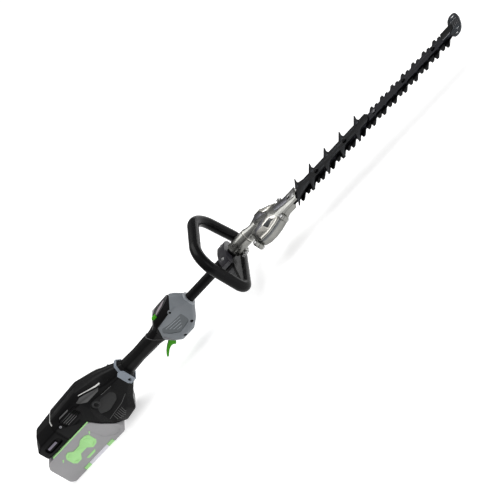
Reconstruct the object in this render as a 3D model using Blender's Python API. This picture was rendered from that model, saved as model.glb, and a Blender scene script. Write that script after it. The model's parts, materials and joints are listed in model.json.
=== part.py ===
"""Battery hedge trimmer: short pole, loop front handle, aluminium gear head, double-sided blades.

The shaft axis is the design axis: +X runs along it towards the blade tip, +Z is up and
the battery hangs below. All design numbers are millimetres measured from the point of the
shaft axis above the first guard spike. The empty "trimmer" shifts that frame so that
the world origin lies under the middle of the tool, on the plane that the battery rests on.
"""
import math

import bmesh
import bpy
from mathutils import Matrix, Vector

MM = 0.001
GAP = 0.3            # clearance between pieces that touch in the real tool

# --- driving dimensions ---------------------------------------------------------------
TOOTH_PITCH = 33.0   # spacing of the teeth on one blade
STROKE = TOOTH_PITCH / 4.0           # each blade swings this far either side of its middle
REST_SHIFT = 6.1     # how far each blade stands from its middle position at rest
TOOTH_TIP_Y = 33.8   # half width over the teeth
BLADE_Y = 15.0       # half width of a blade's solid web
TIP_TOOTH_X = 462.6  # outermost near-side tooth, blades in middle position
UPPER_Z = (-22.1, -19.7)
LOWER_Z = (-24.9, -22.5)
BAR_Z = (-19.3, -16.5)
COMB_Z = (-16.2, -13.0)
COMB_SPIKES = 5
COMB_PITCH = 1.5 * TOOTH_PITCH
COMB_TIP_Y = 53.9
BOLT_XS = (65.0, 157.5, 250.0, 342.5, 435.0)

TUBE_R = 11.4
SHAFT_R = 4.0
CRANK_X = -95.0
CRANK_PHASE = math.acos(-REST_SHIFT / STROKE)
ECC_R = 10.5
NECK_R = 17.0
SPLIT_Z = -16.0      # joint plane of the gear case
CASE_FLOOR_Z = -36.0

HANDLE_X = -214.0
HANDLE_R = 13.1
HANDLE_TOP = (90.0, 92.2)     # centreline corners (y, z) and their radii
HANDLE_LOW = (99.0, -37.8)
HANDLE_TOP_CORNER = 54.0
HANDLE_LOW_CORNER = 19.0
HANDLE_LEAN = 0.07

BAY_Z = -4.7         # underside of the motor housing over the battery
BATTERY_Z = -90.0
BATTERY_Y = 44.0
BATTERY_REAR_X = -905.0
TIP_GUARD_X = 521.0
ORIGIN_X = (TIP_GUARD_X + BATTERY_REAR_X) / 2.0
ORIGIN_Z = BATTERY_Z

# (x, top z, top half width, shoulder z, side half width, hip z, bottom half width, bottom z)
REAR_STATIONS = (
    (-586.0, 14.5, 8.0, 5.0, 18.5, -13.0, 9.0, -22.5),
    (-601.0, 22.0, 10.0, 9.0, 23.0, -19.0, 13.0, -32.0),
    (-635.0, 37.5, 12.6, 20.0, 33.0, -36.0, 20.0, -56.0),
    (-655.0, 45.0, 15.0, 30.0, 38.0, -56.0, 24.0, -79.0),
    (-706.0, 58.0, 20.0, 40.0, 42.5, -60.0, 28.0, -85.0),
    (-804.0, 53.0, 30.0, 40.0, 42.5, -60.0, 28.0, -85.0),
)
CAP_STATIONS = (
    (-807.0, 52.0, 18.6, 38.0, 42.5, 3.0, 41.5, -4.7),
    (-862.0, 49.7, 12.8, 36.0, 42.0, 3.0, 41.0, -4.7),
    (-884.0, 31.0, 10.0, 26.0, 38.0, 3.0, 36.0, -4.7),
)
SWITCH_STATIONS = (
    (-350.0, 15.0, 6.5, 6.5, 15.0, -6.5, 6.5, -15.0),
    (-362.0, 28.0, 6.0, 12.0, 22.0, -15.0, 12.0, -24.0),
    (-379.0, 43.0, 5.5, 24.0, 28.0, -28.0, 17.0, -37.0),
    (-402.0, 39.0, 13.0, 27.0, 29.5, -40.0, 20.0, -50.0),
    (-441.0, 35.0, 20.0, 24.0, 29.5, -40.0, 20.0, -50.0),
    (-452.0, 28.0, 16.0, 19.0, 27.0, -31.0, 17.0, -40.0),
    (-468.0, 17.0, 11.0, 8.0, 21.0, -16.0, 12.0, -24.0),
    (-486.0, 14.0, 8.0, 4.0, 18.0, -13.0, 8.0, -22.0),
)
GRIP_STATIONS = (
    (-486.4, 14.0, 8.0, 4.0, 18.0, -12.0, 8.0, -22.0),
    (-505.0, 14.0, 8.0, 4.0, 17.6, -12.0, 8.0, -22.0),
    (-545.0, 12.6, 7.5, 3.0, 16.6, -11.0, 7.5, -20.6),
    (-585.6, 14.2, 8.0, 5.0, 18.3, -13.0, 9.0, -22.3),
)


def clear_scene():
    for obj in list(bpy.data.objects):
        bpy.data.objects.remove(obj, do_unlink=True)


def material(name, rgb, rough, metal=0.0):
    mat = bpy.data.materials.new(name)
    mat.use_nodes = True
    shader = mat.node_tree.nodes["Principled BSDF"]
    shader.inputs["Base Color"].default_value = (*rgb, 1.0)
    shader.inputs["Roughness"].default_value = rough
    shader.inputs["Metallic"].default_value = metal
    mat.diffuse_color = (*rgb, 1.0)
    return mat


clear_scene()
ROOT = bpy.data.objects.new("trimmer", None)
bpy.context.scene.collection.objects.link(ROOT)
ROOT.location = (-ORIGIN_X * MM, 0.0, -ORIGIN_Z * MM)

BLACK = material("housing_black", (0.018, 0.018, 0.020), 0.45)
GLOSS = material("panel_gloss", (0.012, 0.012, 0.014), 0.12)
GREY = material("cover_grey", (0.130, 0.145, 0.165), 0.45)
ALU = material("cast_aluminium", (0.58, 0.58, 0.57), 0.32, 1.0)
STEEL = material("bright_steel", (0.55, 0.55, 0.56), 0.28, 1.0)
BLADE = material("blade_steel", (0.035, 0.038, 0.042), 0.38, 1.0)
GREEN = material("signal_green", (0.10, 0.42, 0.02), 0.38)
PALE = material("pack_grey", (0.55, 0.54, 0.56), 0.5)
PALE_GREEN = material("pack_green", (0.60, 0.82, 0.52), 0.5)
COPPER = material("copper", (0.72, 0.33, 0.18), 0.35, 1.0)
BOARD = material("circuit_board", (0.02, 0.12, 0.05), 0.5)
STRAP = material("strap_grey", (0.20, 0.23, 0.27), 0.42)


# --- mesh helpers ---------------------------------------------------------------------
def poly_prism(outline, lo, hi, axis):
    """Extrude a 2-D outline along axis; outlines are (x, y), (x, z) or (y, z)."""
    bm = bmesh.new()

    def point(p, h):
        if axis == "z":
            return (p[0], p[1], h)
        if axis == "y":
            return (p[0], h, p[1])
        return (h, p[0], p[1])

    low = [bm.verts.new(point(p, lo)) for p in outline]
    high = [bm.verts.new(point(p, hi)) for p in outline]
    bm.faces.new(low)
    bm.faces.new(high)
    count = len(outline)
    for i in range(count):
        j = (i + 1) % count
        bm.faces.new((low[i], low[j], high[j], high[i]))
    bmesh.ops.recalc_face_normals(bm, faces=bm.faces)
    return bm


def block(x0, x1, y0, y1, z0, z1):
    return poly_prism(((x0, y0), (x1, y0), (x1, y1), (x0, y1)), z0, z1, "z")


def loft(sections):
    """Skin closed sections of equal point count and cap both ends."""
    bm = bmesh.new()
    rings = [[bm.verts.new(p) for p in section] for section in sections]
    bm.faces.new(rings[0])
    bm.faces.new(rings[-1])
    count = len(rings[0])
    for a, b in zip(rings, rings[1:]):
        for i in range(count):
            j = (i + 1) % count
            bm.faces.new((a[i], a[j], b[j], b[i]))
    bmesh.ops.recalc_face_normals(bm, faces=bm.faces)
    bmesh.ops.triangulate(bm, faces=bm.faces[:])
    return bm


def mirrored_form(levels):
    """A form symmetric in y: each level is one half outline, rear to front."""
    bm = bmesh.new()
    rings = []
    for half in levels:
        left = [bm.verts.new((x, -y, z)) for x, y, z in half]
        right = [bm.verts.new((x, y, z)) for x, y, z in half]
        rings.append((left, right))
    last = len(levels[0]) - 1
    for (left_a, right_a), (left_b, right_b) in zip(rings, rings[1:]):
        for i in range(last):
            bm.faces.new((left_a[i], left_a[i + 1], left_b[i + 1], left_b[i]))
            bm.faces.new((right_a[i], right_a[i + 1], right_b[i + 1], right_b[i]))
        for i in (0, last):
            bm.faces.new((left_a[i], right_a[i], right_b[i], left_b[i]))
    for left, right in (rings[0], rings[-1]):
        for i in range(last):
            bm.faces.new((left[i], left[i + 1], right[i + 1], right[i]))
    bmesh.ops.recalc_face_normals(bm, faces=bm.faces)
    bmesh.ops.triangulate(bm, faces=bm.faces[:])
    return bm


def revolve(profile, axis, centre, segs=24, closed=True):
    """Turn a profile of (radius, distance along axis) about an axis through centre."""
    bm = bmesh.new()
    cx, cy, cz = centre

    def point(r, a, k):
        c = r * math.cos(2 * math.pi * k / segs)
        s = r * math.sin(2 * math.pi * k / segs)
        if axis == "x":
            return (cx + a, cy + c, cz + s)
        if axis == "y":
            return (cx + s, cy + a, cz + c)
        return (cx + c, cy + s, cz + a)

    rings = []
    for r, a in profile:
        if r < 1e-6:
            rings.append([bm.verts.new(point(0.0, a, 0))] * segs)
        else:
            rings.append([bm.verts.new(point(r, a, k)) for k in range(segs)])
    pairs = list(zip(rings, rings[1:]))
    if closed:
        pairs.append((rings[-1], rings[0]))
    for a, b in pairs:
        for k in range(segs):
            j = (k + 1) % segs
            ring = []
            for v in (a[k], a[j], b[j], b[k]):
                if v not in ring:
                    ring.append(v)
            if len(ring) > 2:
                bm.faces.new(ring)
    bmesh.ops.recalc_face_normals(bm, faces=bm.faces)
    return bm


def disc(axis, centre, r, lo, hi, segs=24):
    return revolve(((0, lo), (r, lo), (r, hi), (0, hi)), axis, centre, segs, closed=False)


def ring(axis, centre, r_in, r_out, lo, hi, segs=24):
    return revolve(((r_in, lo), (r_out, lo), (r_out, hi), (r_in, hi)), axis, centre, segs)


def stepped(axis, centre, steps, segs=24):
    """A solid turned piece from (radius, from, to) steps in order along the axis."""
    profile = [(0, steps[0][1])]
    for r, lo, hi in steps:
        profile += [(r, lo), (r, hi)]
    profile.append((0, steps[-1][2]))
    return revolve(profile, axis, centre, segs, closed=False)


def place(name, bm, mat, at=(0.0, 0.0, 0.0), smooth=False, bevel=0.0, segments=2):
    """Make the object with its origin at the design point "at", under the root empty."""
    bmesh.ops.transform(bm, matrix=Matrix.Translation(-Vector(at)), verts=bm.verts)
    bmesh.ops.scale(bm, vec=(MM, MM, MM), verts=bm.verts)
    mesh = bpy.data.meshes.new(name)
    bm.to_mesh(mesh)
    bm.free()
    obj = bpy.data.objects.new(name, mesh)
    bpy.context.scene.collection.objects.link(obj)
    obj.parent = ROOT
    obj.location = Vector(at) * MM
    if mat:
        mesh.materials.append(mat)
    if smooth:
        mesh.shade_smooth()
        mesh.set_sharp_from_angle(angle=math.radians(35))
    if bevel:
        mod = obj.modifiers.new("edge", "BEVEL")
        mod.width = bevel * MM
        mod.segments = segments
        mod.limit_method = "ANGLE"
        mod.angle_limit = math.radians(35)
    return obj


def tool(name, bm):
    """A hidden cutter."""
    obj = place("cut_" + name, bm, None)
    obj.hide_render = True
    obj.display_type = "WIRE"
    return obj


def gather(pieces):
    """Join separate solids into one mesh, for a cutter that works in several places."""
    whole = bmesh.new()
    for piece in pieces:
        mesh = bpy.data.meshes.new("piece")
        piece.to_mesh(mesh)
        piece.free()
        whole.from_mesh(mesh)
        bpy.data.meshes.remove(mesh)
    return whole


def boolean(obj, other, operation="DIFFERENCE", solver="EXACT"):
    mod = obj.modifiers.new(other.name, "BOOLEAN")
    mod.operation = operation
    mod.solver = solver
    mod.object = other
    return obj


# --- sections of the moulded housings -------------------------------------------------
def full_section(station, grow=0.0):
    x, zt, wt, zs, wm, zl, wb, zb = station
    half = ((wt + 0.4 * grow, zt + grow), (wm + grow, zs), (wm + grow, zl),
            (wb + 0.4 * grow, zb - grow))
    left = [(x, -y, z) for y, z in half]
    right = [(x, y, z) for y, z in reversed(half)]
    return left + right


def half_shell(stations, side, wall, seam=0.15):
    """One half of a moulding: a C-shaped wall lofted through the stations."""
    sections = []
    for x, zt, wt, zs, wm, zl, wb, zb in stations:
        outer = ((seam, zt), (wt, zt), (wm, zs), (wm, zl), (wb, zb), (seam, zb))
        inner = ((seam, zb + wall), (wb - 0.4 * wall, zb + wall), (wm - wall, zl + 0.2 * wall),
                 (wm - wall, zs - 0.2 * wall), (wt - 0.4 * wall, zt - wall), (seam, zt - wall))
        sections.append([(x, side * y, z) for y, z in outer + inner])
    return loft(sections)


def interpolate(stations, x):
    for a, b in zip(stations, stations[1:]):
        if b[0] <= x <= a[0]:
            t = (x - a[0]) / (b[0] - a[0])
            return tuple(p + t * (q - p) for p, q in zip(a, b))
    raise ValueError("station outside the moulding")


SIDES = (("left", -1), ("right", 1))

# --- rear housing: motor, controller and battery bay ----------------------------------
BAY_OUTLINE = ((-741.0, BAY_Z), (-729.0, -31.0), (-697.0, -74.0), (-690.0, -86.0),
               (-690.0, -130.0), (-1000.0, -130.0), (-1000.0, BAY_Z))
bay = tool("battery_bay", poly_prism(BAY_OUTLINE, -70, 70, "y"))
liner_form = tool("liner_form", loft([full_section(s, -1.4) for s in REAR_STATIONS]))
RAIL_SLOT_Y = 12.5
RAIL_HEAD_Y = 16.5
rail_slot = tool("rail_slot", block(-1000, -747, -RAIL_SLOT_Y, RAIL_SLOT_Y, -10, 0))
rail_head = tool("rail_head", block(-1000, -747, -RAIL_HEAD_Y, RAIL_HEAD_Y, -1.9, 3.4))
VENT = (-781.0, -727.0, 24.0, 43.0)
for label, side in SIDES:
    liner_outline = ((-804.0, BAY_Z), (-741.0, BAY_Z), (-729.0, -31.0), (-697.0, -74.0),
                     (-690.0, -86.0), (-686.5, -85.0), (-693.5, -72.0), (-725.5, -29.0),
                     (-738.0, BAY_Z + 3.0), (-804.0, BAY_Z + 3.0))
    inner_y, outer_y = sorted((side * 0.15, side * 60.0))
    liner = tool("liner_" + label, poly_prism(liner_outline, inner_y, outer_y, "y"))
    boolean(liner, liner_form, "INTERSECT")
    shell = place("housing_" + label, half_shell(REAR_STATIONS, side, 3.0), BLACK)
    boolean(shell, bay)
    boolean(shell, liner, "UNION")
    boolean(shell, rail_slot)
    vx0, vx1, vz0, vz1 = VENT
    y0, y1 = sorted((side * 36.0, side * 60.0))
    boolean(shell, tool("vent_" + label, block(vx0, vx1, y0, y1, vz0, vz1)))
    # louvre plate with five long slots
    y0, y1 = sorted((side * 39.6, side * 42.3))
    grille = place("vent_grille_" + label,
                   block(vx0 + GAP, vx1 - GAP, y0, y1, vz0 + GAP, vz1 - 0.6), BLACK,
                   at=((vx0 + vx1) / 2, (y0 + y1) / 2, (vz0 + vz1) / 2))
    slot_zs = [vz0 + 3.0 + k * 3.3 for k in range(5)]
    boolean(grille, tool("slots_" + label, gather(
        block(vx0 + 5, vx1 - 5, y0 - 5, y1 + 5, z - 0.9, z + 0.9) for z in slot_zs)))

cap = place("rear_cap", loft([full_section(s) for s in CAP_STATIONS]), BLACK)
CAP_INNER = ((-800.0, 49.0, 16.0, 36.0, 39.5, 3.0, 38.5, -1.5),
             (-860.0, 46.7, 11.0, 34.0, 39.0, 3.0, 38.0, -1.5),
             (-881.0, 29.0, 8.0, 24.0, 35.0, 3.0, 33.0, -1.5))
boolean(cap, tool("cap_hollow", loft([full_section(s) for s in CAP_INNER])))
boolean(cap, rail_slot)
boolean(cap, rail_head)
LATCH = (-868.0, -822.0, 5.0, 22.0)
boolean(cap, tool("latch_pocket", block(LATCH[0], LATCH[1], -60, -37.0, LATCH[2], LATCH[3])))

# ribbed battery latch in its pocket on the left side of the cap
latch = place("battery_latch", block(-862.0, -830.0, -40.4, -35.0, 7.0, 20.0), GREY,
              at=(-846.0, -38.0, 13.5), bevel=1.0, segments=1)
for k in range(6):
    x = -857.0 + 4.6 * k
    boolean(latch, tool("latch_rib_%d" % k, block(x, x + 2.0, -45.0, -39.2, 5.0, 22.0)))

# --- harness bracket round the neck of the rear housing -------------------------------
seat = interpolate(REAR_STATIONS, -600.0)


def band(grow):
    return [(y, z) for _, y, z in full_section(seat, grow)]


strap_bm = poly_prism(band(3.2), -600.0, -594.0, "x")
bracket = place("harness_bracket", strap_bm, STRAP, at=(-597.0, 0, 0))
lug_outline = ((-607.0, 10.0), (-607.0, -20.0), (-602.0, -28.0), (-592.0, -28.0),
               (-587.0, -22.0), (-587.0, 6.0), (-592.0, 14.0), (-601.0, 14.0))
boolean(bracket, tool("lug", poly_prism(lug_outline, -28.6, -25.4, "y")), "UNION")
boolean(bracket, tool("strap_bore", poly_prism(band(0.5), -620.0, -580.0, "x")))
boolean(bracket, tool("eye", disc("y", (-597.0, -27.0, -18.0), 4.2, -10, 10, 20)))

# --- rear grip ------------------------------------------------------------------------
for label, side in SIDES:
    place("grip_" + label, half_shell(GRIP_STATIONS, side, 2.6), BLACK, at=(-536.0, 0, -4))

# --- switch housing: black core behind and above, grey covers in front and below ------
CORE_EDGE = ((-366.0, 60.0), (-374.0, 45.0), (-389.0, 32.0), (-397.0, 25.0), (-447.0, 19.0),
             (-464.0, -8.0), (-474.0, -40.0))
core_region = tool("core_region", poly_prism(
    CORE_EDGE + ((-474.0, -70.0), (-520.0, -70.0), (-520.0, 60.0)), -60, 60, "y"))
cover_region = tool("cover_region", poly_prism(
    tuple((x + 0.4, z - 0.3) for x, z in CORE_EDGE)
    + ((-473.6, -70.0), (-330.0, -70.0), (-330.0, 59.7)), -60, 60, "y"))
tube_bore = tool("tube_bore", disc("x", (0, 0, 0), TUBE_R + GAP, -410, -340))
TRIGGER_SLOT = (-487.0, -448.5, -6.6, 6.6)
trigger_slot = tool("trigger_slot", block(TRIGGER_SLOT[0], TRIGGER_SLOT[1], TRIGGER_SLOT[2],
                                          TRIGGER_SLOT[3], -60, -16.5))
BUTTON = (-440.0, -429.5, -18.0, -7.0)
button_hole = tool("button_hole", block(BUTTON[0] - 0.4, BUTTON[1] + 0.4, BUTTON[2] - 0.4,
                                        BUTTON[3] + 0.4, 25, 60))
for label, side in SIDES:
    core = place("switch_core_" + label, half_shell(SWITCH_STATIONS, side, 2.6), BLACK,
                 at=(-440.0, 0, 0))
    boolean(core, core_region, "INTERSECT")
    boolean(core, trigger_slot)
    if side < 0:
        boolean(core, button_hole)
    cover = place("switch_cover_" + label, half_shell(SWITCH_STATIONS, side, 2.6), GREY,
                  at=(-400.0, 0, 0))
    boolean(cover, cover_region, "INTERSECT")
    boolean(cover, tube_bore)
    boolean(cover, trigger_slot)

PANEL_XS = (-381.0, -402.0, -441.0, -449.5)
panel_sections = []
for x in PANEL_XS:
    zt, wt = interpolate(SWITCH_STATIONS, x)[1:3]
    panel_sections.append([(x, -wt + 0.8, zt + GAP), (x, wt - 0.8, zt + GAP),
                           (x, wt - 0.8, zt + 2.4), (x, -wt + 0.8, zt + 2.4)])
panel = place("control_panel", loft(panel_sections), GLOSS, at=(-415.0, 0, 40))
boolean(panel, button_hole)
place("power_button", block(BUTTON[0], BUTTON[1], BUTTON[2], BUTTON[3], 33.0, 39.2), GREEN,
      at=(-434.75, -12.5, 39.0), bevel=0.7, segments=1)

# trigger: a curved lever on a pivot inside the housing
TRIGGER_PIVOT = (-452.0, 0.0, -29.0)
TRIGGER_OUTLINE = ((-446.5, -27.0), (-450.0, -23.6), (-455.0, -24.0), (-468.0, -31.0),
                   (-477.0, -35.5), (-490.0, -42.0), (-502.0, -50.0), (-509.0, -57.0),
                   (-508.5, -60.0), (-505.0, -60.0), (-498.0, -55.0), (-489.0, -49.5),
                   (-480.0, -46.5), (-473.5, -47.0), (-469.0, -52.0), (-465.5, -50.5),
                   (-464.5, -44.0), (-458.0, -36.5), (-449.0, -33.5))
trigger = place("trigger", poly_prism(TRIGGER_OUTLINE, -5.6, 5.6, "y"), GREEN,
                at=TRIGGER_PIVOT, bevel=0.8, segments=1)
boolean(trigger, tool("trigger_bore", disc("y", TRIGGER_PIVOT, 2.4, -20, 20, 14)))
place("trigger_pin", disc("y", TRIGGER_PIVOT, 2.0, -19.0, 19.0, 12), STEEL, at=TRIGGER_PIVOT,
      smooth=True)
place("microswitch", block(-444.0, -424.0, -5.0, 5.0, -30.0, -16.0), BLACK,
      at=(-434.0, 0, -23.0))

# --- drive line and motor -------------------------------------------------------------
place("drive_shaft", disc("x", (0, 0, 0), SHAFT_R, -734.0, -113.0, 20), STEEL,
      at=(-420.0, 0, 0), smooth=True)
place("shaft_tube", ring("x", (0, 0, 0), TUBE_R - 1.8, TUBE_R, -408.0, -153.5, 36), BLACK,
      at=(-280.0, 0, 0), smooth=True)
for label, x in (("rear", -396.0), ("front", -178.0)):
    place("tube_bush_" + label, ring("x", (0, 0, 0), SHAFT_R + GAP, TUBE_R - 2.1, x, x + 12),
          BLACK, at=(x, 0, 0), smooth=True)
MOTOR = (-712.0, -664.0)
ROTOR_R = 15.5
STATOR_R = 29.0
place("rotor", ring("x", (0, 0, 0), SHAFT_R + GAP, ROTOR_R, MOTOR[0] + 2, MOTOR[1] - 2), STEEL,
      at=(sum(MOTOR) / 2, 0, 0), smooth=True)
place("stator", ring("x", (0, 0, 0), ROTOR_R + 0.8, STATOR_R, MOTOR[0], MOTOR[1], 36), COPPER,
      at=(sum(MOTOR) / 2, 0, 0), smooth=True)
for label, x in (("rear", -724.0), ("front", -658.0)):
    place("motor_bearing_" + label,
          ring("x", (0, 0, 0), SHAFT_R + GAP, 13.0, x, x + 7.0), STEEL, at=(x, 0, 0),
          smooth=True)
FAN_BLADES = 9
fan = place("cooling_fan", ring("x", (0, 0, 0), SHAFT_R + GAP, 9.0, -650.0, -640.0), BLACK,
            at=(-645.0, 0, 0))
for k in range(FAN_BLADES):
    vane = block(-649.0, -641.0, -0.9, 0.9, 8.0, 22.0)
    turn = Matrix.Rotation(2 * math.pi * k / FAN_BLADES, 4, "X")
    bmesh.ops.transform(vane, matrix=turn, verts=vane.verts)
    boolean(fan, tool("vane_%d" % k, vane), "UNION")
place("controller_board", block(-790.0, -744.0, -30.0, 30.0, 12.0, 20.0), BOARD,
      at=(-767.0, 0, 16.0))
place("battery_terminal", block(-746.6, -738.0, -14.0, 14.0, 3.0, 11.0), BLACK,
      at=(-742.0, 0, 6.0))

# --- battery pack: slides off to the rear ---------------------------------------------
PACK_OUTLINE = ((-741.4, -8.4), (-729.6, -31.3), (-703.0, -67.0), (-703.0, -84.0),
                (-709.0, BATTERY_Z), (-896.0, BATTERY_Z), (-905.0, -80.0), (-905.0, -22.0),
                (-893.0, -8.4))
place("battery_case", poly_prism(PACK_OUTLINE, -BATTERY_Y, BATTERY_Y, "y"), PALE,
      at=(-820.0, 0, -48.0), bevel=4.0)
rail = place("battery_rail", block(-874.0, -742.0, -43.0, 43.0, -8.1, BAY_Z - GAP), PALE_GREEN,
             at=(-808.0, 0, -6.5))
boolean(rail, tool("rail_stem", block(-870.0, -750.0, -12.0, 12.0, -6.0, 1.0)), "UNION")
boolean(rail, tool("rail_lip", block(-870.0, -750.0, -16.0, 16.0, -1.4, 2.9)), "UNION")
INLAY = ((-775.0, -22.0), (-767.0, -28.0), (-767.0, -54.0), (-775.0, -60.0), (-790.0, -60.0),
         (-799.0, -49.0), (-827.0, -49.0), (-836.0, -60.0), (-851.0, -60.0), (-859.0, -54.0),
         (-859.0, -28.0), (-851.0, -22.0), (-836.0, -22.0), (-827.0, -34.0), (-799.0, -34.0),
         (-790.0, -22.0))
for label, side in SIDES:
    y0, y1 = sorted((side * (BATTERY_Y + GAP), side * (BATTERY_Y + 1.3)))
    place("battery_inlay_" + label, poly_prism(INLAY, y0, y1, "y"), PALE_GREEN,
          at=(-813.0, side * BATTERY_Y, -41.0))


# --- loop handle and its clamp --------------------------------------------------------
def lean(z):
    return HANDLE_X - (z - HANDLE_LOW[1]) * HANDLE_LEAN


def loop_path():
    """Rounded trapezoid, drawn as arcs at the corners."""
    corners = ((HANDLE_LOW[0], HANDLE_LOW[1]), (HANDLE_TOP[0], HANDLE_TOP[1]),
               (-HANDLE_TOP[0], HANDLE_TOP[1]), (-HANDLE_LOW[0], HANDLE_LOW[1]))
    radii = (HANDLE_LOW_CORNER, HANDLE_TOP_CORNER, HANDLE_TOP_CORNER, HANDLE_LOW_CORNER)
    path = []
    for i, (corner, radius) in enumerate(zip(corners, radii)):
        here = Vector(corner)
        back = (Vector(corners[i - 1]) - here).normalized()
        ahead = (Vector(corners[(i + 1) % 4]) - here).normalized()
        half = back.angle(ahead) / 2.0
        reach = radius / math.tan(half)
        centre = here + (back + ahead).normalized() * radius / math.sin(half)
        start = here + back * reach - centre
        end = here + ahead * reach - centre
        for k in range(7):
            t = k / 6.0
            arm = (start * math.sin((1 - t) * (math.pi - 2 * half))
                   + end * math.sin(t * (math.pi - 2 * half))) / math.sin(math.pi - 2 * half)
            path.append(centre + arm)
    return path


def loop_tube(radius, segs=12):
    path = loop_path()
    count = len(path)
    bm = bmesh.new()
    rings = []
    tilt = math.atan(HANDLE_LEAN)
    side_axis = Vector((math.cos(tilt), 0.0, math.sin(tilt)))
    for i, p in enumerate(path):
        here = Vector((lean(p.y), p.x, p.y))
        prev_p = path[i - 1]
        next_p = path[(i + 1) % count]
        along = Vector((lean(next_p.y) - lean(prev_p.y), next_p.x - prev_p.x,
                        next_p.y - prev_p.y)).normalized()
        out = along.cross(side_axis).normalized()
        rings.append([bm.verts.new(here + radius * (math.cos(2 * math.pi * k / segs) * out
                                                    + math.sin(2 * math.pi * k / segs) * side_axis))
                      for k in range(segs)])
    for i in range(count):
        a = rings[i]
        b = rings[(i + 1) % count]
        for k in range(segs):
            j = (k + 1) % segs
            bm.faces.new((a[k], a[j], b[j], b[k]))
    bmesh.ops.recalc_face_normals(bm, faces=bm.faces)
    return bm


handle_bore = tool("handle_bore", disc("x", (0, 0, 0), TUBE_R + GAP, -260, -180, 36))
loop = place("loop_handle", loop_tube(HANDLE_R), BLACK, at=(-218.0, 0, 0), smooth=True)
saddle_outline = ((-38.0, -24.0), (-38.0, -0.4), (38.0, -0.4), (38.0, -24.0), (26.0, -30.0),
                  (-26.0, -30.0))
boolean(loop, tool("saddle", poly_prism(saddle_outline, -229.0, -207.0, "x")), "UNION")
boolean(loop, handle_bore)
clamp_outline = ((-38.0, 0.4), (-38.0, 11.0), (-26.0, 20.0), (26.0, 20.0), (38.0, 11.0),
                 (38.0, 0.4))
clamp = place("handle_clamp", poly_prism(clamp_outline, -229.0, -207.0, "x"), BLACK,
              at=(-218.0, 0, 8.0))
boolean(clamp, handle_bore)
for label, side in SIDES:
    y = side * 25.0
    hole = tool("clamp_hole_" + label,
                stepped("z", (-218.0, y, 0), ((2.9, -17.0, 14.0), (5.2, 14.0, 40.0)), 16))
    boolean(clamp, hole)
    boolean(loop, hole)
    place("handle_screw_" + label,
          stepped("z", (-218.0, y, 0), ((2.5, -16.0, 14.3), (4.7, 14.3, 19.0)), 16), STEEL,
          at=(-218.0, y, 0), smooth=True)

# --- gear head ------------------------------------------------------------------------
neck = place("neck_clamp", ring("x", (0, 0, 0), TUBE_R + GAP, NECK_R, -199.0, -150.3, 28), ALU,
             at=(-175.0, 0, 0), smooth=True)
boolean(neck, tool("clamp_ears", block(-194.5, -176.5, -9.0, 9.0, -25.0, -13.0)), "UNION")
boolean(neck, tool("clamp_slit", block(-210.0, -165.0, -1.2, 1.2, -30.0, -5.0)))
boolean(neck, tool("neck_bore", disc("x", (0, 0, 0), TUBE_R + GAP, -210, -140, 28)))
for k, x in enumerate((-190.0, -181.0)):
    boolean(neck, tool("clamp_pin_%d" % k, disc("y", (x, 0, -20.5), 2.6, -20, 20, 14)))
    place("clamp_screw_%d" % (k + 1),
          stepped("y", (x, 0, -20.5), ((4.0, -12.6, -9.3), (2.2, -9.3, 10.5)), 14), STEEL,
          at=(x, 0, -20.5), smooth=True)

# half outlines of the gear case from rear to front: (x, half width)
PAN_PLAN = ((-141.0, 20.0), (-134.0, 34.0), (-118.0, 42.0), (-96.0, 43.0), (-76.0, 37.0),
            (-58.0, 27.0), (-40.0, 22.5), (-4.0, 22.5))
LID_PLAN = ((-134.0, 15.0, 4.5), (-128.0, 26.0, 5.0), (-116.0, 33.0, 5.5),
            (-97.0, 34.0, 5.5), (-80.0, 27.0, 2.5), (-62.0, 17.0, -3.0),
            (-40.0, 15.0, -6.5), (-10.0, 14.0, -9.0))
# case bolts: (x, y, top of the ear)
EARS = ((-137.0, 38.0, -7.0), (-137.0, -38.0, -7.0), (-54.0, 32.0, -12.0), (-54.0, -32.0, -12.0))
NOSE_FLOOR_Z = -29.5
LOW_PLAN = PAN_PLAN[:-1] + ((-18.0, 22.5),)

upper = place("gear_case_upper", mirrored_form((
    [(x, y, SPLIT_Z + 0.15) for x, y in PAN_PLAN],
    [(x, y, -10.5) for x, y in PAN_PLAN],
    LID_PLAN)), ALU, at=(CRANK_X, 0, -5.0))
boolean(upper, tool("neck_socket", stepped("x", (0, 0, 0), ((NECK_R, -150.0, -120.0),
                                                            (12.0, -120.0, -110.0)), 24)),
        "UNION", "MANIFOLD")
lower = place("gear_case_lower", mirrored_form((
    [(CRANK_X + (x - CRANK_X) * 0.90, y * 0.90, CASE_FLOOR_Z if x < -50 else NOSE_FLOOR_Z)
     for x, y in LOW_PLAN],
    [(x, y, -27.5) for x, y in LOW_PLAN],
    [(x, y, SPLIT_Z - 0.15) for x, y in LOW_PLAN])), ALU, at=(CRANK_X, 0, -26.0))
boolean(upper, tool("ears_top", gather(
    disc("z", (x, y, 0), 6.5, SPLIT_Z + 0.5, top, 14) for x, y, top in EARS)), "UNION", "MANIFOLD")
boolean(lower, tool("ears_low", gather(
    disc("z", (x, y, 0), 6.5, -27.0, SPLIT_Z - 0.5, 14) for x, y, _ in EARS)), "UNION", "MANIFOLD")
ear_bores = tool("ear_bores", gather(disc("z", (x, y, 0), 3.0, -60, 30, 14) for x, y, _ in EARS))
boolean(upper, ear_bores, solver="MANIFOLD")
boolean(lower, ear_bores, solver="MANIFOLD")
for k, (x, y, top) in enumerate(EARS):
    place("case_bolt_%d" % (k + 1),
          stepped("z", (x, y, 0), ((4.4, -30.6, -27.3), (2.6, -27.3, top + GAP),
                                   (4.4, top + GAP, top + 4.0)), 12), STEEL, at=(x, y, -16.0), smooth=True)

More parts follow.
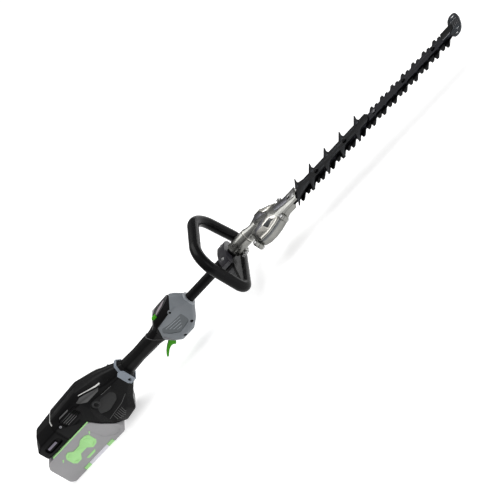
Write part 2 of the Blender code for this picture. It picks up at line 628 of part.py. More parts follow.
# hollow of the case: crank chamber, blade channel, shaft passage, floor bearing
chamber_half = [(CRANK_X + (x - CRANK_X) * 0.90, y * 0.86) for x, y in PAN_PLAN if x < -50]
chamber_plan = chamber_half + [(x, -y) for x, y in reversed(chamber_half)]
low_hollows = (("neck_seat", disc("x", (0, 0, 0), NECK_R + GAP, -152.0, -119.5, 24)),
               ("low_chamber", poly_prism(chamber_plan, -31.0, -10.0, "z")),
               ("blade_channel", block(-70.0, 20.0, -16.0, 16.0, -25.6, -10.0)),
               ("tooth_relief", block(-17.0, 22.0, -42.0, 42.0, -25.6, -10.0)),
               ("floor_pivot", disc("z", (CRANK_X, 0, 0), 5.3, -34.0, -20.0, 20)))
for name, form in low_hollows:
    boolean(lower, tool(name, form), solver="MANIFOLD")
top_hollows = (("gear_chamber", disc("z", (CRANK_X, 0, 0), 31.0, -20.0, -3.5, 28)),
               ("pinion_chamber", disc("x", (0, 0, 0), 11.5, -152.0, -100.0, 24)))
for name, form in top_hollows:
    boolean(upper, tool(name, form), solver="MANIFOLD")
place("neck_bearing", ring("x", (0, 0, 0), SHAFT_R + GAP, 11.2, -146.0, -138.0), STEEL,
      at=(-142.0, 0, 0), smooth=True)

# bevel drive: pinion on the shaft, face gear with two opposed eccentrics on the crank
PINION_TEETH = 6
GEAR_TEETH = 18
pinion = place("pinion", ring("x", (0, 0, 0), SHAFT_R + GAP, 6.0, -126.0, -115.0, 18), STEEL,
               at=(-120.0, 0, 0))
for k in range(PINION_TEETH):
    tooth = block(-125.5, -116.0, -1.0, 1.0, 5.0, 8.2)
    turn = Matrix.Rotation(2 * math.pi * k / PINION_TEETH, 4, "X")
    bmesh.ops.transform(tooth, matrix=turn, verts=tooth.verts)
    boolean(pinion, tool("pinion_tooth_%d" % k, tooth), "UNION")
ecc = Vector((math.cos(CRANK_PHASE), math.sin(CRANK_PHASE), 0.0)) * STROKE
crank = place("crank_gear",
              stepped("z", (CRANK_X, 0, 0), ((5.0, -33.6, -24.0), (5.0, -24.0, -18.8),
                                             (28.0, -18.8, -11.6), (5.0, -11.6, -5.0)), 24),
              STEEL, at=(CRANK_X, 0, -15.0))
for label, way, z0, z1 in (("upper", 1, -22.3, -18.0), ("lower", -1, -25.4, -22.3)):
    centre = (CRANK_X + way * ecc.x, way * ecc.y, 0)
    boolean(crank, tool("ecc_" + label, disc("z", centre, ECC_R, z0, z1, 24)), "UNION")
for k in range(GEAR_TEETH):
    tooth = block(19.0, 27.5, -1.0, 1.0, -12.0, -9.0)
    turn = Matrix.Translation((CRANK_X, 0, 0)) @ Matrix.Rotation(
        2 * math.pi * (k + 0.5) / GEAR_TEETH, 4, "Z")
    bmesh.ops.transform(tooth, matrix=turn, verts=tooth.verts)
    boolean(crank, tool("gear_tooth_%02d" % k, tooth), "UNION")


# --- blades, guide bar, guards --------------------------------------------------------
def tooth_edge(side, first_x, teeth):
    """Points along one edge of a blade, from the tip end back to the root."""
    points = []
    for k in range(teeth):
        x = first_x - TOOTH_PITCH * k
        points += [(x + 9.0, side * BLADE_Y), (x + 3.4, side * TOOTH_TIP_Y),
                   (x - 2.6, side * TOOTH_TIP_Y), (x - 9.0, side * BLADE_Y)]
    return points


def blade_outline(shift):
    near = tooth_edge(-1, TIP_TOOTH_X + shift, 15 if shift > 0 else 14)
    far = tooth_edge(1, TIP_TOOTH_X + shift - TOOTH_PITCH / 2, 14)
    root_x = CRANK_X + shift
    tip = [(482.0 + shift, 10.0), (486.0 + shift, 4.0), (486.0 + shift, -4.0),
           (482.0 + shift, -10.0)]
    root = [(-22.0 + shift, -BLADE_Y), (root_x + 24.0, -BLADE_Y), (root_x + 15.0, -25.0),
            (root_x - 20.0, -25.0), (root_x - 31.0, -14.0), (root_x - 31.0, 14.0),
            (root_x - 20.0, 25.0), (root_x + 15.0, 25.0), (root_x + 24.0, BLADE_Y)]
    return tip + near + root + list(reversed(far))


def rounded_slot(cx, half_length, half_width, lo, hi, segs):
    outline = []
    for sign in (1, -1):
        for k in range(segs + 1):
            angle = math.pi * k / segs - math.pi / 2
            outline.append((cx + sign * (half_length - half_width + half_width * math.cos(angle)),
                            sign * half_width * math.sin(angle)))
    return poly_prism(outline, lo, hi, "z")


for label, shift, zz in (("upper", -REST_SHIFT, UPPER_Z), ("lower", REST_SHIFT, LOWER_Z)):
    blade = place("blade_" + label, poly_prism(blade_outline(shift), zz[0], zz[1], "z"), BLADE,
                  at=(200.0, 0, sum(zz) / 2))
    for k, x in enumerate(BOLT_XS):
        boolean(blade, tool("slot_%s_%d" % (label, k),
                            rounded_slot(x + shift, 13.4, 4.4, zz[0] - 2, zz[1] + 2, 5)))
    yoke_x = CRANK_X + shift
    boolean(blade, tool("yoke_" + label,
                        rounded_slot(yoke_x, ECC_R + 2 * STROKE + 0.6, ECC_R + STROKE + 0.6,
                                     zz[0] - 2, zz[1] + 2, 12)))

bar_plan = ((-24.0, -14.5), (500.0, -14.5), (506.0, -8.0), (506.0, 8.0), (500.0, 14.5),
            (-24.0, 14.5))
bar = place("guide_bar", poly_prism(bar_plan, BAR_Z[0], BAR_Z[1], "z"), BLADE,
            at=(240.0, 0, -18.0))


COMB_END = 226.0


def comb_outline():
    """Straight rear edge, then a spine with a pair of forward-raked spikes at each step."""
    half = [(-1.5, COMB_TIP_Y), (1.5, COMB_TIP_Y - 1.0), (5.0, 36.0), (12.0, 25.0),
            (24.0, 21.0), (40.0, 15.5)]
    for k in range(1, COMB_SPIKES):
        x = COMB_PITCH * k
        half += [(x - 7.0, 15.2), (x - 1.4, COMB_TIP_Y - 0.5), (x + 1.4, COMB_TIP_Y - 1.0),
                 (x + 5.0, 30.0), (x + 14.0, 15.2)]
    half.append((COMB_END, 15.2))
    half.append((COMB_END + 6.0, 10.0))
    return half + [(x, -y) for x, y in reversed(half)]


comb = place("comb_guard", poly_prism(comb_outline(), COMB_Z[0], COMB_Z[1], "z"), BLADE,
             at=(110.0, 0, -14.6))

# tip guard: a raised pad over the bar and a bow with an eye on each side
GUARD_OUTER = ((488.0, 16.0), (491.0, 33.0), (497.0, 42.5), (506.0, 44.5), (513.0, 40.0),
               (518.0, 30.0), (521.0, 14.0), (521.0, -14.0), (518.0, -30.0), (513.0, -40.0),
               (506.0, -44.5), (497.0, -42.5), (491.0, -33.0), (488.0, -16.0), (464.0, -15.0),
               (464.0, 15.0))
guard = place("tip_guard", poly_prism(GUARD_OUTER, -16.2, -11.8, "z"), GREY,
              at=(500.0, 0, -14.0), bevel=0.6, segments=1)
for label, side in SIDES:
    eye = [(494.5, side * 18.0), (496.5, side * 31.0), (501.0, side * 37.0),
           (506.0, side * 38.5), (511.0, side * 33.0), (513.5, side * 18.0)]
    boolean(guard, tool("guard_eye_" + label, poly_prism(eye, -30, 0, "z")))

# blade bolts with their spacer sleeves: they run in the blades' slots
NUT_Z = -25.3
for k, x in enumerate(BOLT_XS):
    top_of_stack = COMB_Z[1] if x < COMB_END else BAR_Z[1]
    hole = tool("bolt_hole_%d" % k, disc("z", (x, 0, 0), 3.3, -40, 0, 16))
    boolean(bar, hole)
    if x < COMB_END:
        boolean(comb, hole)
    place("blade_bolt_%d" % (k + 1),
          stepped("z", (x, 0, 0), ((6.5, -29.5, NUT_Z), (3.0, NUT_Z, top_of_stack + GAP),
                                   (5.2, top_of_stack + GAP, top_of_stack + 3.2)), 14),
          STEEL, at=(x, 0, -21.0), smooth=True)
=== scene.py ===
"""Looks of the battery hedge trimmer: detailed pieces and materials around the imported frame.

Lengths below are millimetres in the design axes: +X along the shaft to the blade tip, +Z up,
zero on the shaft axis above the first spike of the comb guard. ZERO takes them to the frame.
"""
import json
import math

import bmesh
import bpy
from mathutils import Matrix, Vector


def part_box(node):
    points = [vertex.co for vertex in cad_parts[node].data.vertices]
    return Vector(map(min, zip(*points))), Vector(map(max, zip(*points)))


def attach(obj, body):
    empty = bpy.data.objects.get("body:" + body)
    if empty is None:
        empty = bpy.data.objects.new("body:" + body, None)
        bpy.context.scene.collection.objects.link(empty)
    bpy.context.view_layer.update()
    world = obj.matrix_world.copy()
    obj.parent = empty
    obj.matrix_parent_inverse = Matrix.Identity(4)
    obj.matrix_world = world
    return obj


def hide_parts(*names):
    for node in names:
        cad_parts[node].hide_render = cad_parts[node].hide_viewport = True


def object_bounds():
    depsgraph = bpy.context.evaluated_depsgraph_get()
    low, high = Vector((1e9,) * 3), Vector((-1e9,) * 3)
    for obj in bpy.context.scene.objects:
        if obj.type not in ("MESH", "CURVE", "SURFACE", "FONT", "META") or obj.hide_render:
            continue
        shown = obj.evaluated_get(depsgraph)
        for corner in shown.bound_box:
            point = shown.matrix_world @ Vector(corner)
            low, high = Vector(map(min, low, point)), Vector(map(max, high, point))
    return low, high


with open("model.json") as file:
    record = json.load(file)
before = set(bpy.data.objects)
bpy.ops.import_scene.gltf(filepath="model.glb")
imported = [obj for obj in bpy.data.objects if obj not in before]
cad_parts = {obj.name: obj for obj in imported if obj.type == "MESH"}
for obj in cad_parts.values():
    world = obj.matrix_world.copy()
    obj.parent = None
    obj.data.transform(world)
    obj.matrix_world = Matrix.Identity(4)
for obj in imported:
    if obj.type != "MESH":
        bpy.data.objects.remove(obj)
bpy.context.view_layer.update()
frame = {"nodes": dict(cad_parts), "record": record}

MM = 0.001
TUBE_FRONT_X = -153.5
TUBE_LOW, TUBE_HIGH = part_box("shaft_tube")
ZERO = Vector((TUBE_HIGH.x - TUBE_FRONT_X * MM, 0, (TUBE_LOW.z + TUBE_HIGH.z) / 2))
SIDES = (("left", -1), ("right", 1))


def design_box(node):
    """Lowest and highest corner of a CAD node in design millimetres."""
    low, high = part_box(node)
    return (low - ZERO) / MM, (high - ZERO) / MM


# --- materials ---
class Paint:
    """A Principled material built up from a few procedural layers."""

    def __init__(self, name, rgb, rough, metal=0, coat=0):
        self.mat = bpy.data.materials.new(name)
        self.mat.use_nodes = True
        self.mat.diffuse_color = (*rgb, 1)
        self.tree = self.mat.node_tree
        self.shader = self.tree.nodes["Principled BSDF"]
        for key, number in (("Metallic", metal), ("Coat Weight", coat), ("Coat Roughness", 0.15)):
            self.shader.inputs[key].default_value = number
        self.coords = self.node("ShaderNodeTexCoord").outputs["Object"]
        self.color = self.constant("ShaderNodeRGB", (*rgb, 1))
        self.rough = self.constant("ShaderNodeValue", rough)
        self.height = None

    def node(self, kind, **values):
        made = self.tree.nodes.new(kind)
        for key, value in values.items():
            if hasattr(made, key) and key not in made.inputs:
                setattr(made, key, value)
            else:
                made.inputs[key].default_value = value
        return made

    def link(self, out, socket):
        self.tree.links.new(out, socket)

    def constant(self, kind, value):
        made = self.node(kind)
        made.outputs[0].default_value = value
        return made.outputs[0]

    def noise(self, scale, detail=3, stretch=(1, 1, 1)):
        """Noise whose feature size is about 1/scale metres, stretched along an axis."""
        mapping = self.node("ShaderNodeMapping", Scale=stretch)
        self.link(self.coords, mapping.inputs["Vector"])
        made = self.node("ShaderNodeTexNoise", Scale=scale, Detail=detail)
        self.link(mapping.outputs[0], made.inputs["Vector"])
        return made.outputs["Fac"]

    def ramp(self, noise, low, high, out_low, out_high):
        """Noise between low and high, taken to another range."""
        made = self.node("ShaderNodeMapRange")
        ends = (("From Min", low), ("From Max", high), ("To Min", out_low), ("To Max", out_high))
        for key, number in ends:
            made.inputs[key].default_value = number
        self.link(self.noise(*noise), made.inputs["Value"])
        return made.outputs[0]

    def tint(self, rgb, most, noise, low, high):
        """Mix another colour in, from none where the noise is low to most where it is high."""
        mix = self.node("ShaderNodeMix", data_type="RGBA")
        self.link(self.ramp(noise, low, high, 0, most), mix.inputs[0])
        self.link(self.color, mix.inputs[6])
        mix.inputs[7].default_value = (*rgb, 1)
        self.color = mix.outputs[2]

    def vary_rough(self, amount, *noise):
        """Let the roughness differ by up to half the amount each way."""
        made = self.node("ShaderNodeMath", operation="MULTIPLY_ADD")
        self.link(self.ramp(noise, 0.3, 0.7, -0.5, 0.5), made.inputs[0])
        made.inputs[1].default_value = amount
        self.link(self.rough, made.inputs[2])
        self.rough = made.outputs[0]

    def bump(self, distance, strength, *noise):
        made = self.node("ShaderNodeBump", Distance=distance, Strength=strength)
        self.link(self.noise(*noise), made.inputs["Height"])
        if self.height is not None:
            self.link(self.height, made.inputs["Normal"])
        self.height = made.outputs[0]

    def done(self):
        self.link(self.color, self.shader.inputs["Base Color"])
        self.link(self.rough, self.shader.inputs["Roughness"])
        if self.height is not None:
            self.link(self.height, self.shader.inputs["Normal"])
        return self.mat


def times(rgb, factor):
    return tuple(min(1, c * factor) for c in rgb)


def moulded(name, rgb, rough, grain=2600, depth=0.00006, wear=0.5, scuff=0.1, gloss=0.5):
    """Moulded plastic: fine eroded grain, slow colour drift, scuffs in a grey or a colour."""
    p = Paint(name, rgb, rough)
    p.shader.inputs["Specular IOR Level"].default_value = gloss
    p.tint(times(rgb, 1.5), 0.22, (22, 4), 0.35, 0.75)
    p.tint((wear,) * 3 if isinstance(wear, float) else wear, scuff, (190, 5, (0.35, 1, 1)), 0.6, 0.8)
    p.vary_rough(0.12, 60, 4)
    p.bump(depth, 1, grain, 2)
    return p.done()


BLACK = moulded("moulded_black", (0.0025, 0.0025, 0.0028), 0.42, wear=0.03, gloss=0.1)
BODY = moulded("body_black", (0.003, 0.003, 0.0033), 0.34, wear=0.03, gloss=0.09)
SHEEN = moulded("body_sheen", (0.004, 0.004, 0.0043), 0.27, wear=0.04, gloss=0.105)
# near-white for painted highlights: the edge line on the housing's side and the top of the cap joint
PAINTED_HIGHLIGHT = moulded("painted_highlight", (0.62, 0.62, 0.6), 0.25, depth=0.00002, wear=0.8)
LILAC_GREY = moulded("latch_lilac", (0.2, 0.18, 0.23), 0.42, wear=(0.4, 0.38, 0.42))
GREY = moulded("cover_grey", (0.155, 0.17, 0.185), 0.44, wear=(0.3, 0.32, 0.34), gloss=0.4)
COLLAR_GREY = moulded("collar_grey", (0.235, 0.255, 0.275), 0.34, wear=(0.4, 0.42, 0.44))
GREY_DARK = moulded("cover_recess", (0.085, 0.097, 0.105), 0.5, wear=(0.22, 0.24, 0.25))
GREEN = moulded("signal_green", (0.042, 0.29, 0.001), 0.36, depth=0.00003, wear=(0.15, 0.6, 0.05),
    gloss=0.14)
PALE = moulded("pack_grey", (0.36, 0.355, 0.365), 0.48, wear=(0.55, 0.55, 0.56), gloss=0.3)
PALE_GREEN = moulded("pack_green", (0.42, 0.8, 0.32), 0.46, wear=(0.62, 0.86, 0.56), gloss=0.3)
PALE_LILAC = moulded("pack_lilac", (0.8, 0.78, 0.86), 0.46, wear=(0.9, 0.9, 0.95))
STRAP = moulded("strap_grey", (0.2, 0.23, 0.27), 0.4, wear=(0.45, 0.47, 0.5))
SEAM_GREY = moulded("seam_grey", (0.075, 0.072, 0.075), 0.4, wear=0.3)
# pale pinkish grey for the band along the cover's lower rear edge: a painted reflection of the bright
# surroundings
BRIM_REFLECTION = moulded("brim_reflection", (0.16, 0.135, 0.155), 0.4, wear=0.3)
CLAMP_GREY = moulded("clamp_grey", (0.026, 0.025, 0.03), 0.3, wear=(0.08, 0.08, 0.09), gloss=0.3)
# lighter grey for the vent ribs: painted highlights
LIT_SLAT_GREY = moulded("lit_slat_grey", (0.085, 0.085, 0.085), 0.4, wear=0.15)
BELLY_GREY = moulded("belly_grey", (0.019, 0.019, 0.0195), 0.36, wear=0.06, gloss=0.2)
# lighter grey for the hub's side pads: painted light on flat faces
LIT_PAD_GREY = moulded("lit_pad_grey", (0.06, 0.06, 0.064), 0.42, wear=0.2, gloss=0.3)
# a lighter grey that paints light: the side facet turned to the lamp, and highlights on creases and
# ribs
LIT_GREY = moulded("lit_grey", (0.05, 0.05, 0.05), 0.4, wear=0.12)
# the display strip: pinkish grey with strong pale streaks, painted reflections on a glossy display
DISPLAY_REFLECTION = moulded("display_reflection_pink", (0.3, 0.26, 0.28), 0.16, depth=0.00002, wear=(0.75, 0.72, 0.74),
    scuff=0.9)
RUBBER = moulded("grip_rubber", (0.004, 0.004, 0.004), 0.42, grain=1500, depth=0.0001,
    wear=0.03, gloss=0.13)


def cast(name, rgb, rough):
    """Die-cast aluminium: mottled skin, fine pits, darker flow marks."""
    p = Paint(name, rgb, rough, metal=1)
    p.tint(times(rgb, 0.6), 0.5, (45, 5), 0.4, 0.75)
    p.tint(times(rgb, 1.7), 0.35, (420, 3), 0.55, 0.8)
    p.vary_rough(0.16, 120, 4)
    p.bump(0.00008, 1, 1500, 3)
    p.bump(0.00025, 0.5, 160, 3)
    return p.done()


def turned(name, rgb, rough):
    """Machined or plated steel with fine streaks and specks."""
    p = Paint(name, rgb, rough, metal=1)
    p.tint(times(rgb, 0.6), 0.4, (90, 4), 0.45, 0.75)
    p.vary_rough(0.2, 700, 2, (1, 0.2, 0.2))
    p.bump(0.00004, 1, 900, 2, (1, 0.15, 0.15))
    return p.done()


def blackened(name, rgb, rough):
    """Blackened blade steel: lengthwise grinding streaks and paler rubbed patches."""
    p = Paint(name, rgb, rough, metal=0.85)
    p.tint(times(rgb, 1.9), 0.4, (260, 4, (0.05, 1, 1)), 0.45, 0.75)
    p.tint(times(rgb, 2.6), 0.3, (38, 5), 0.58, 0.8)
    p.vary_rough(0.2, 80, 4)
    p.bump(0.00005, 1, 1200, 2, (0.06, 1, 1))
    return p.done()


ALU = cast("cast_aluminium", (0.25, 0.25, 0.235), 0.24)
# near-white copy of the cast aluminium: painted highlights on the lid's chevron and the neck lip
ALU_HIGHLIGHT = cast("highlight_aluminium", (0.8, 0.78, 0.72), 0.26)
NOSE_ALU = cast("nose_aluminium", (0.15, 0.15, 0.165), 0.36)
PAD_ALU = cast("pad_aluminium", (0.36, 0.36, 0.355), 0.34)
ALU_DARK = cast("shaded_aluminium", (0.13, 0.135, 0.14), 0.3)
STEEL = turned("bright_steel", (0.58, 0.58, 0.58), 0.28)
DARK_STEEL = turned("dark_steel", (0.1, 0.1, 0.105), 0.35)
BLADE = blackened("blade_steel", (0.005, 0.0053, 0.0063), 0.36)
SPINE = blackened("spine_steel", (0.013, 0.013, 0.018), 0.3)
SPIKE_STEEL = blackened("spike_steel", (0.018, 0.02, 0.024), 0.3)
BOW_DARK = blackened("bow_steel", (0.034, 0.038, 0.044), 0.26)
BOLT_BLACK = turned("bolt_black", (0.012, 0.012, 0.013), 0.35)
# pale steel for the rear shell screws, and as a painted highlight on one comb bolt and along the tip
# pad's near edge
PALE_STEEL = turned("pale_steel", (0.22, 0.22, 0.235), 0.3)


def glossy_panel():
    p = Paint("panel_gloss", (0.012, 0.012, 0.014), 0.14, coat=0.4)
    p.tint((0.3, 0.3, 0.3), 0.1, (150, 5, (0.4, 1, 1)), 0.62, 0.8)
    p.vary_rough(0.08, 300, 4)
    p.bump(0.00001, 1, 500, 2)
    return p.done()


PANEL = glossy_panel()


def windings():
    p = Paint("copper_windings", (0.62, 0.26, 0.12), 0.32, metal=1)
    p.tint((0.35, 0.13, 0.06), 0.5, (60, 4), 0.4, 0.7)
    p.bump(0.0002, 1, 900, 2, (0.1, 1, 1))
    return p.done()


def circuit():
    p = Paint("circuit_board", (0.02, 0.12, 0.05), 0.42)
    p.tint((0.05, 0.28, 0.12), 0.5, (400, 1, (1, 0.2, 1)), 0.55, 0.6)
    p.bump(0.0001, 1, 400, 1, (1, 0.2, 1))
    return p.done()


# each named look with its materials; a CAD node takes the first of its look
LOOKS = {
    "housing_black": (BLACK, BODY, SHEEN, RUBBER, PAINTED_HIGHLIGHT, CLAMP_GREY, LIT_GREY, BELLY_GREY,
        SEAM_GREY, LIT_SLAT_GREY),
    "panel_gloss": (PANEL, DISPLAY_REFLECTION),
    "cover_grey": (GREY, GREY_DARK, COLLAR_GREY, LILAC_GREY, LIT_PAD_GREY, BRIM_REFLECTION, BOW_DARK),
    "cast_aluminium": (ALU, ALU_HIGHLIGHT, ALU_DARK, NOSE_ALU, PAD_ALU),
    "bright_steel": (STEEL, DARK_STEEL, PALE_STEEL, BOLT_BLACK),
    "blade_steel": (BLADE, SPINE, SPIKE_STEEL),
    "signal_green": (GREEN,),
    "pack_grey": (PALE, PALE_LILAC),
    "pack_green": (PALE_GREEN,),
    "copper": (windings(),),
    "circuit_board": (circuit(),),
    "strap_grey": (STRAP,),
}
LOOK_OF = {mat.name: look for look, mats in LOOKS.items() for mat in mats}

for entry in frame["record"]["subparts"]:
    node = frame["nodes"][entry["node"]]
    node.data.materials.clear()
    node.data.materials.append(LOOKS[entry["material_slot"]][0])

# --- mesh helpers ---
def prism(outline, lo, hi, axis):
    """Extrude a 2-D outline along axis; outlines are (x, y), (x, z) or (y, z)."""
    bm = bmesh.new()

    def point(p, h):
        if axis == "z":
            return (p[0], p[1], h)
        if axis == "y":
            return (p[0], h, p[1])
        return (h, p[0], p[1])

    low = [bm.verts.new(point(p, lo)) for p in outline]
    high = [bm.verts.new(point(p, hi)) for p in outline]
    bm.faces.new(low)
    bm.faces.new(high)
    for i, j in around(len(outline)):
        bm.faces.new((low[i], low[j], high[j], high[i]))
    bmesh.ops.recalc_face_normals(bm, faces=bm.faces)
    return bm


def around(count):
    return [(i, (i + 1) % count) for i in range(count)]


def block(x0, x1, y0, y1, z0, z1):
    return prism(((x0, y0), (x1, y0), (x1, y1), (x0, y1)), z0, z1, "z")


def skin(sections, ring=False):
    """Skin closed sections of equal point count; cap the ends unless they join in a ring."""
    bm = bmesh.new()
    loops = [[bm.verts.new(p) for p in section] for section in sections]
    pairs = list(zip(loops, loops[1:]))
    if ring:
        pairs.append((loops[-1], loops[0]))
    else:
        bm.faces.new(loops[0])
        bm.faces.new(loops[-1])
    for a, b in pairs:
        for i, j in around(len(a)):
            bm.faces.new((a[i], a[j], b[j], b[i]))
    bmesh.ops.recalc_face_normals(bm, faces=bm.faces)
    return bm


def turned_form(axis, centre, profile, segs=32):
    """Turn a profile of (radius, distance along axis) about an axis; zero radius closes it."""
    bm = bmesh.new()
    centre = Vector(centre)
    rings = []
    for r, a in profile:
        ring = []
        for k in range(1 if r < 1e-6 else segs):
            c = r * math.cos(2 * math.pi * k / segs)
            s = r * math.sin(2 * math.pi * k / segs)
            where = {"x": (a, c, s), "y": (s, a, c), "z": (c, s, a)}[axis]
            ring.append(bm.verts.new(centre + Vector(where)))
        rings.append(ring)
    pairs = list(zip(rings, rings[1:]))
    if profile[0][0] > 1e-6:
        pairs.append((rings[-1], rings[0]))
    for a, b in pairs:
        for i, j in around(segs):
            face = []
            for v in (a[i % len(a)], a[j % len(a)], b[j % len(b)], b[i % len(b)]):
                if v not in face:
                    face.append(v)
            bm.faces.new(face)
    bmesh.ops.recalc_face_normals(bm, faces=bm.faces)
    return bm


def side_turned(side, at, profile, segs):
    """Turn a profile of (radius, distance out from y) about an axis along y."""
    x, y, z = at
    return turned_form("y", (x, 0, z), [(r, side * (y + out)) for r, out in profile], segs)


def disc(axis, centre, r, lo, hi, segs=24):
    return turned_form(axis, centre, ((0, lo), (r, lo), (r, hi), (0, hi)), segs)


def soften(points, reach, steps=3, closed=False):
    """Round the corners of a line of points of any dimension, reaching back along each side."""
    points = [tuple(p) for p in points]
    count = len(points)
    made = []
    for i, p in enumerate(points):
        if not closed and i in (0, count - 1):
            made.append(p)
            continue
        before = points[i - 1]
        after = points[(i + 1) % count]
        into = 1 - min(0.45, reach / max(math.dist(before, p), 1e-6))
        out = min(0.45, reach / max(math.dist(p, after), 1e-6))
        start = [b + into * (c - b) for b, c in zip(before, p)]
        end = [c + out * (d - c) for c, d in zip(p, after)]
        for k in range(steps + 1):
            t = k / steps
            made.append(tuple((1 - t) ** 2 * a + 2 * t * (1 - t) * b + t * t * c
                for a, b, c in zip(start, p, end)))
    return made


def rounded(outline, reach, steps=3):
    return soften(outline, reach, steps, closed=True)


def slot_outline(x0, x1, z0, z1, radius, steps=4):
    return rounded(((x0, z0), (x1, z0), (x1, z1), (x0, z1)), radius, steps)


def span(side, a, b):
    """A range of y on one side, lowest first."""
    return sorted((side * a, side * b))


def flip(outline, side):
    return [(a, side * b) for a, b in outline]


def mesh_of(name, bm):
    """A mesh from a form, which is used up."""
    mesh = bpy.data.meshes.new(name)
    bm.to_mesh(mesh)
    bm.free()
    return mesh


def placed(name, data):
    obj = bpy.data.objects.new(name, data)
    bpy.context.scene.collection.objects.link(obj)
    return obj


def gather(forms):
    whole = bmesh.new()
    for form in forms:
        mesh = mesh_of("form", form)
        whole.from_mesh(mesh)
        bpy.data.meshes.remove(mesh)
    return whole


def solid(name, bm):
    """An object in the frame from a form in design millimetres."""
    bmesh.ops.scale(bm, vec=(MM, MM, MM), verts=bm.verts)
    bmesh.ops.translate(bm, vec=ZERO, verts=bm.verts)
    return placed(name, mesh_of(name, bm))


def applied(obj):
    """Replace the object's mesh by what its modifiers make of it."""
    graph = bpy.context.evaluated_depsgraph_get()
    mesh = bpy.data.meshes.new_from_object(obj.evaluated_get(graph))
    old = obj.data
    obj.modifiers.clear()
    obj.data = mesh
    bpy.data.meshes.remove(old)


def combine(obj, other, operation):
    """Boolean obj with another object or form, which is used up."""
    if isinstance(other, bmesh.types.BMesh):
        other = solid("other_form", other)
    mod = obj.modifiers.new("combine", "BOOLEAN")
    mod.operation = operation
    mod.solver = "EXACT"
    mod.object = other
    applied(obj)
    bpy.data.objects.remove(other)
    return obj


def carve(obj, other):
    return combine(obj, other, "DIFFERENCE")


def fuse(obj, other):
    return combine(obj, other, "UNION")


def clip(obj, other):
    return combine(obj, other, "INTERSECT")


def drill(obj, x, y, r, z0, z1, segs=24):
    """A round hole along z."""
    carve(obj, disc("z", (x, y, 0), r, z0, z1, segs))


def soften_edges(obj, weld_reach, edge, segments, angle):
    """Weld and bevel modifiers over the object's mesh."""
    weld = obj.modifiers.new("weld", "WELD")
    weld.merge_threshold = weld_reach
    mod = obj.modifiers.new("edge", "BEVEL")
    mod.width = edge * MM
    mod.segments = segments
    mod.limit_method = "ANGLE"
    mod.angle_limit = math.radians(angle)


def dress(obj, mat, replaces=(), body="housing", slot=None, edge=0, segments=2, angle=32):
    """Soften the edges, paint the piece and set it on its body; a slot is looked up from the paint when
    none is given, but nothing uses it.
    """
    mesh = obj.data
    mesh.materials.clear()
    mesh.materials.append(mat)
    if edge:
        soften_edges(obj, 0.00002, edge, segments, angle)
        applied(obj)
    obj.data.shade_smooth()
    obj.data.set_sharp_from_angle(angle=math.radians(angle))
    if slot is None:
        slot = LOOK_OF[mat.name]
    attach(obj, body)
    if replaces:
        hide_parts(*replaces)


def piece(name, form, *looks, **more):
    """A dressed object made straight from its form."""
    dress(solid(name, form), *looks, **more)


# --- moulded half shells through stations ---
# a station is (x, top z, top half width, shoulder z, side half width, hip z,
#               bottom half width, bottom z)
SEAM = 0.15
CORNER_REACH = 3.2
STATION_REACH = 3.5


def half_profile(station, grow):
    """Softened half outline of one station, top to bottom, as (y, z) with y positive."""
    _, zt, wt, zs, wm, zl, wb, zb = station
    corners = ((SEAM, zt + grow), (wt + 0.4 * grow, zt + grow), (wm + grow, zs), (wm + grow, zl),
        (wb + 0.4 * grow, zb - grow), (SEAM, zb - grow))
    return soften(corners, CORNER_REACH, 3)


def shell_half(stations, side, outer=0, inner=-3, reach=STATION_REACH):
    """One half of a hollow moulding between two offsets of the stations."""
    sections = []
    for station in soften(stations, reach, 3):
        x = station[0]
        loop = half_profile(station, outer) + half_profile(station, inner)[::-1]
        sections.append([(x, side * y, z) for y, z in loop])
    return skin(sections)


def plate_on(name, stations, side, outline, low, high):
    """A thin plate that follows the moulding's surface inside an (x, z) outline."""
    form = prism(outline, *span(side, 0.3, 90), "y")
    return clip(solid(name, shell_half(stations, side, high, low)), form)


def skin_plate(name, stations, side, outline, low, high, mat, edge=0.3, slot=None):
    dress(plate_on(name, stations, side, outline, low, high), mat, slot=slot, edge=edge)


def station_at(stations, x):
    for a, b in zip(stations, stations[1:]):
        if b[0] <= x <= a[0]:
            t = (x - a[0]) / (b[0] - a[0])
            return [p + t * (q - p) for p, q in zip(a, b)]
    raise ValueError("no station there")


def skin_y(stations, x, z):
    """Half width of a moulding at (x, z) on its side."""
    _, zt, wt, zs, wm, zl, wb, zb = station_at(stations, x)
    if z > zs:
        return wt + (wm - wt) * (zt - z) / (zt - zs)
    if z < zl:
        return wb + (wm - wb) * (z - zb) / (zl - zb)
    return wm


def on_side(stations, at, sink=0):
    """The point on a moulding's side at (x, z), sunk in by some depth."""
    x, z = at
    return x, skin_y(stations, x, z) - sink, z


def full_form(stations, grow=0, reach=STATION_REACH):
    """The closed outer form of a moulding, both halves."""
    sections = []
    for station in soften(stations, reach, 3):
        half = half_profile(station, grow)
        left = [(station[0], -y, z) for y, z in half]
        right = [(station[0], y, z) for y, z in half[::-1]]
        sections.append(left + right)
    return skin(sections)


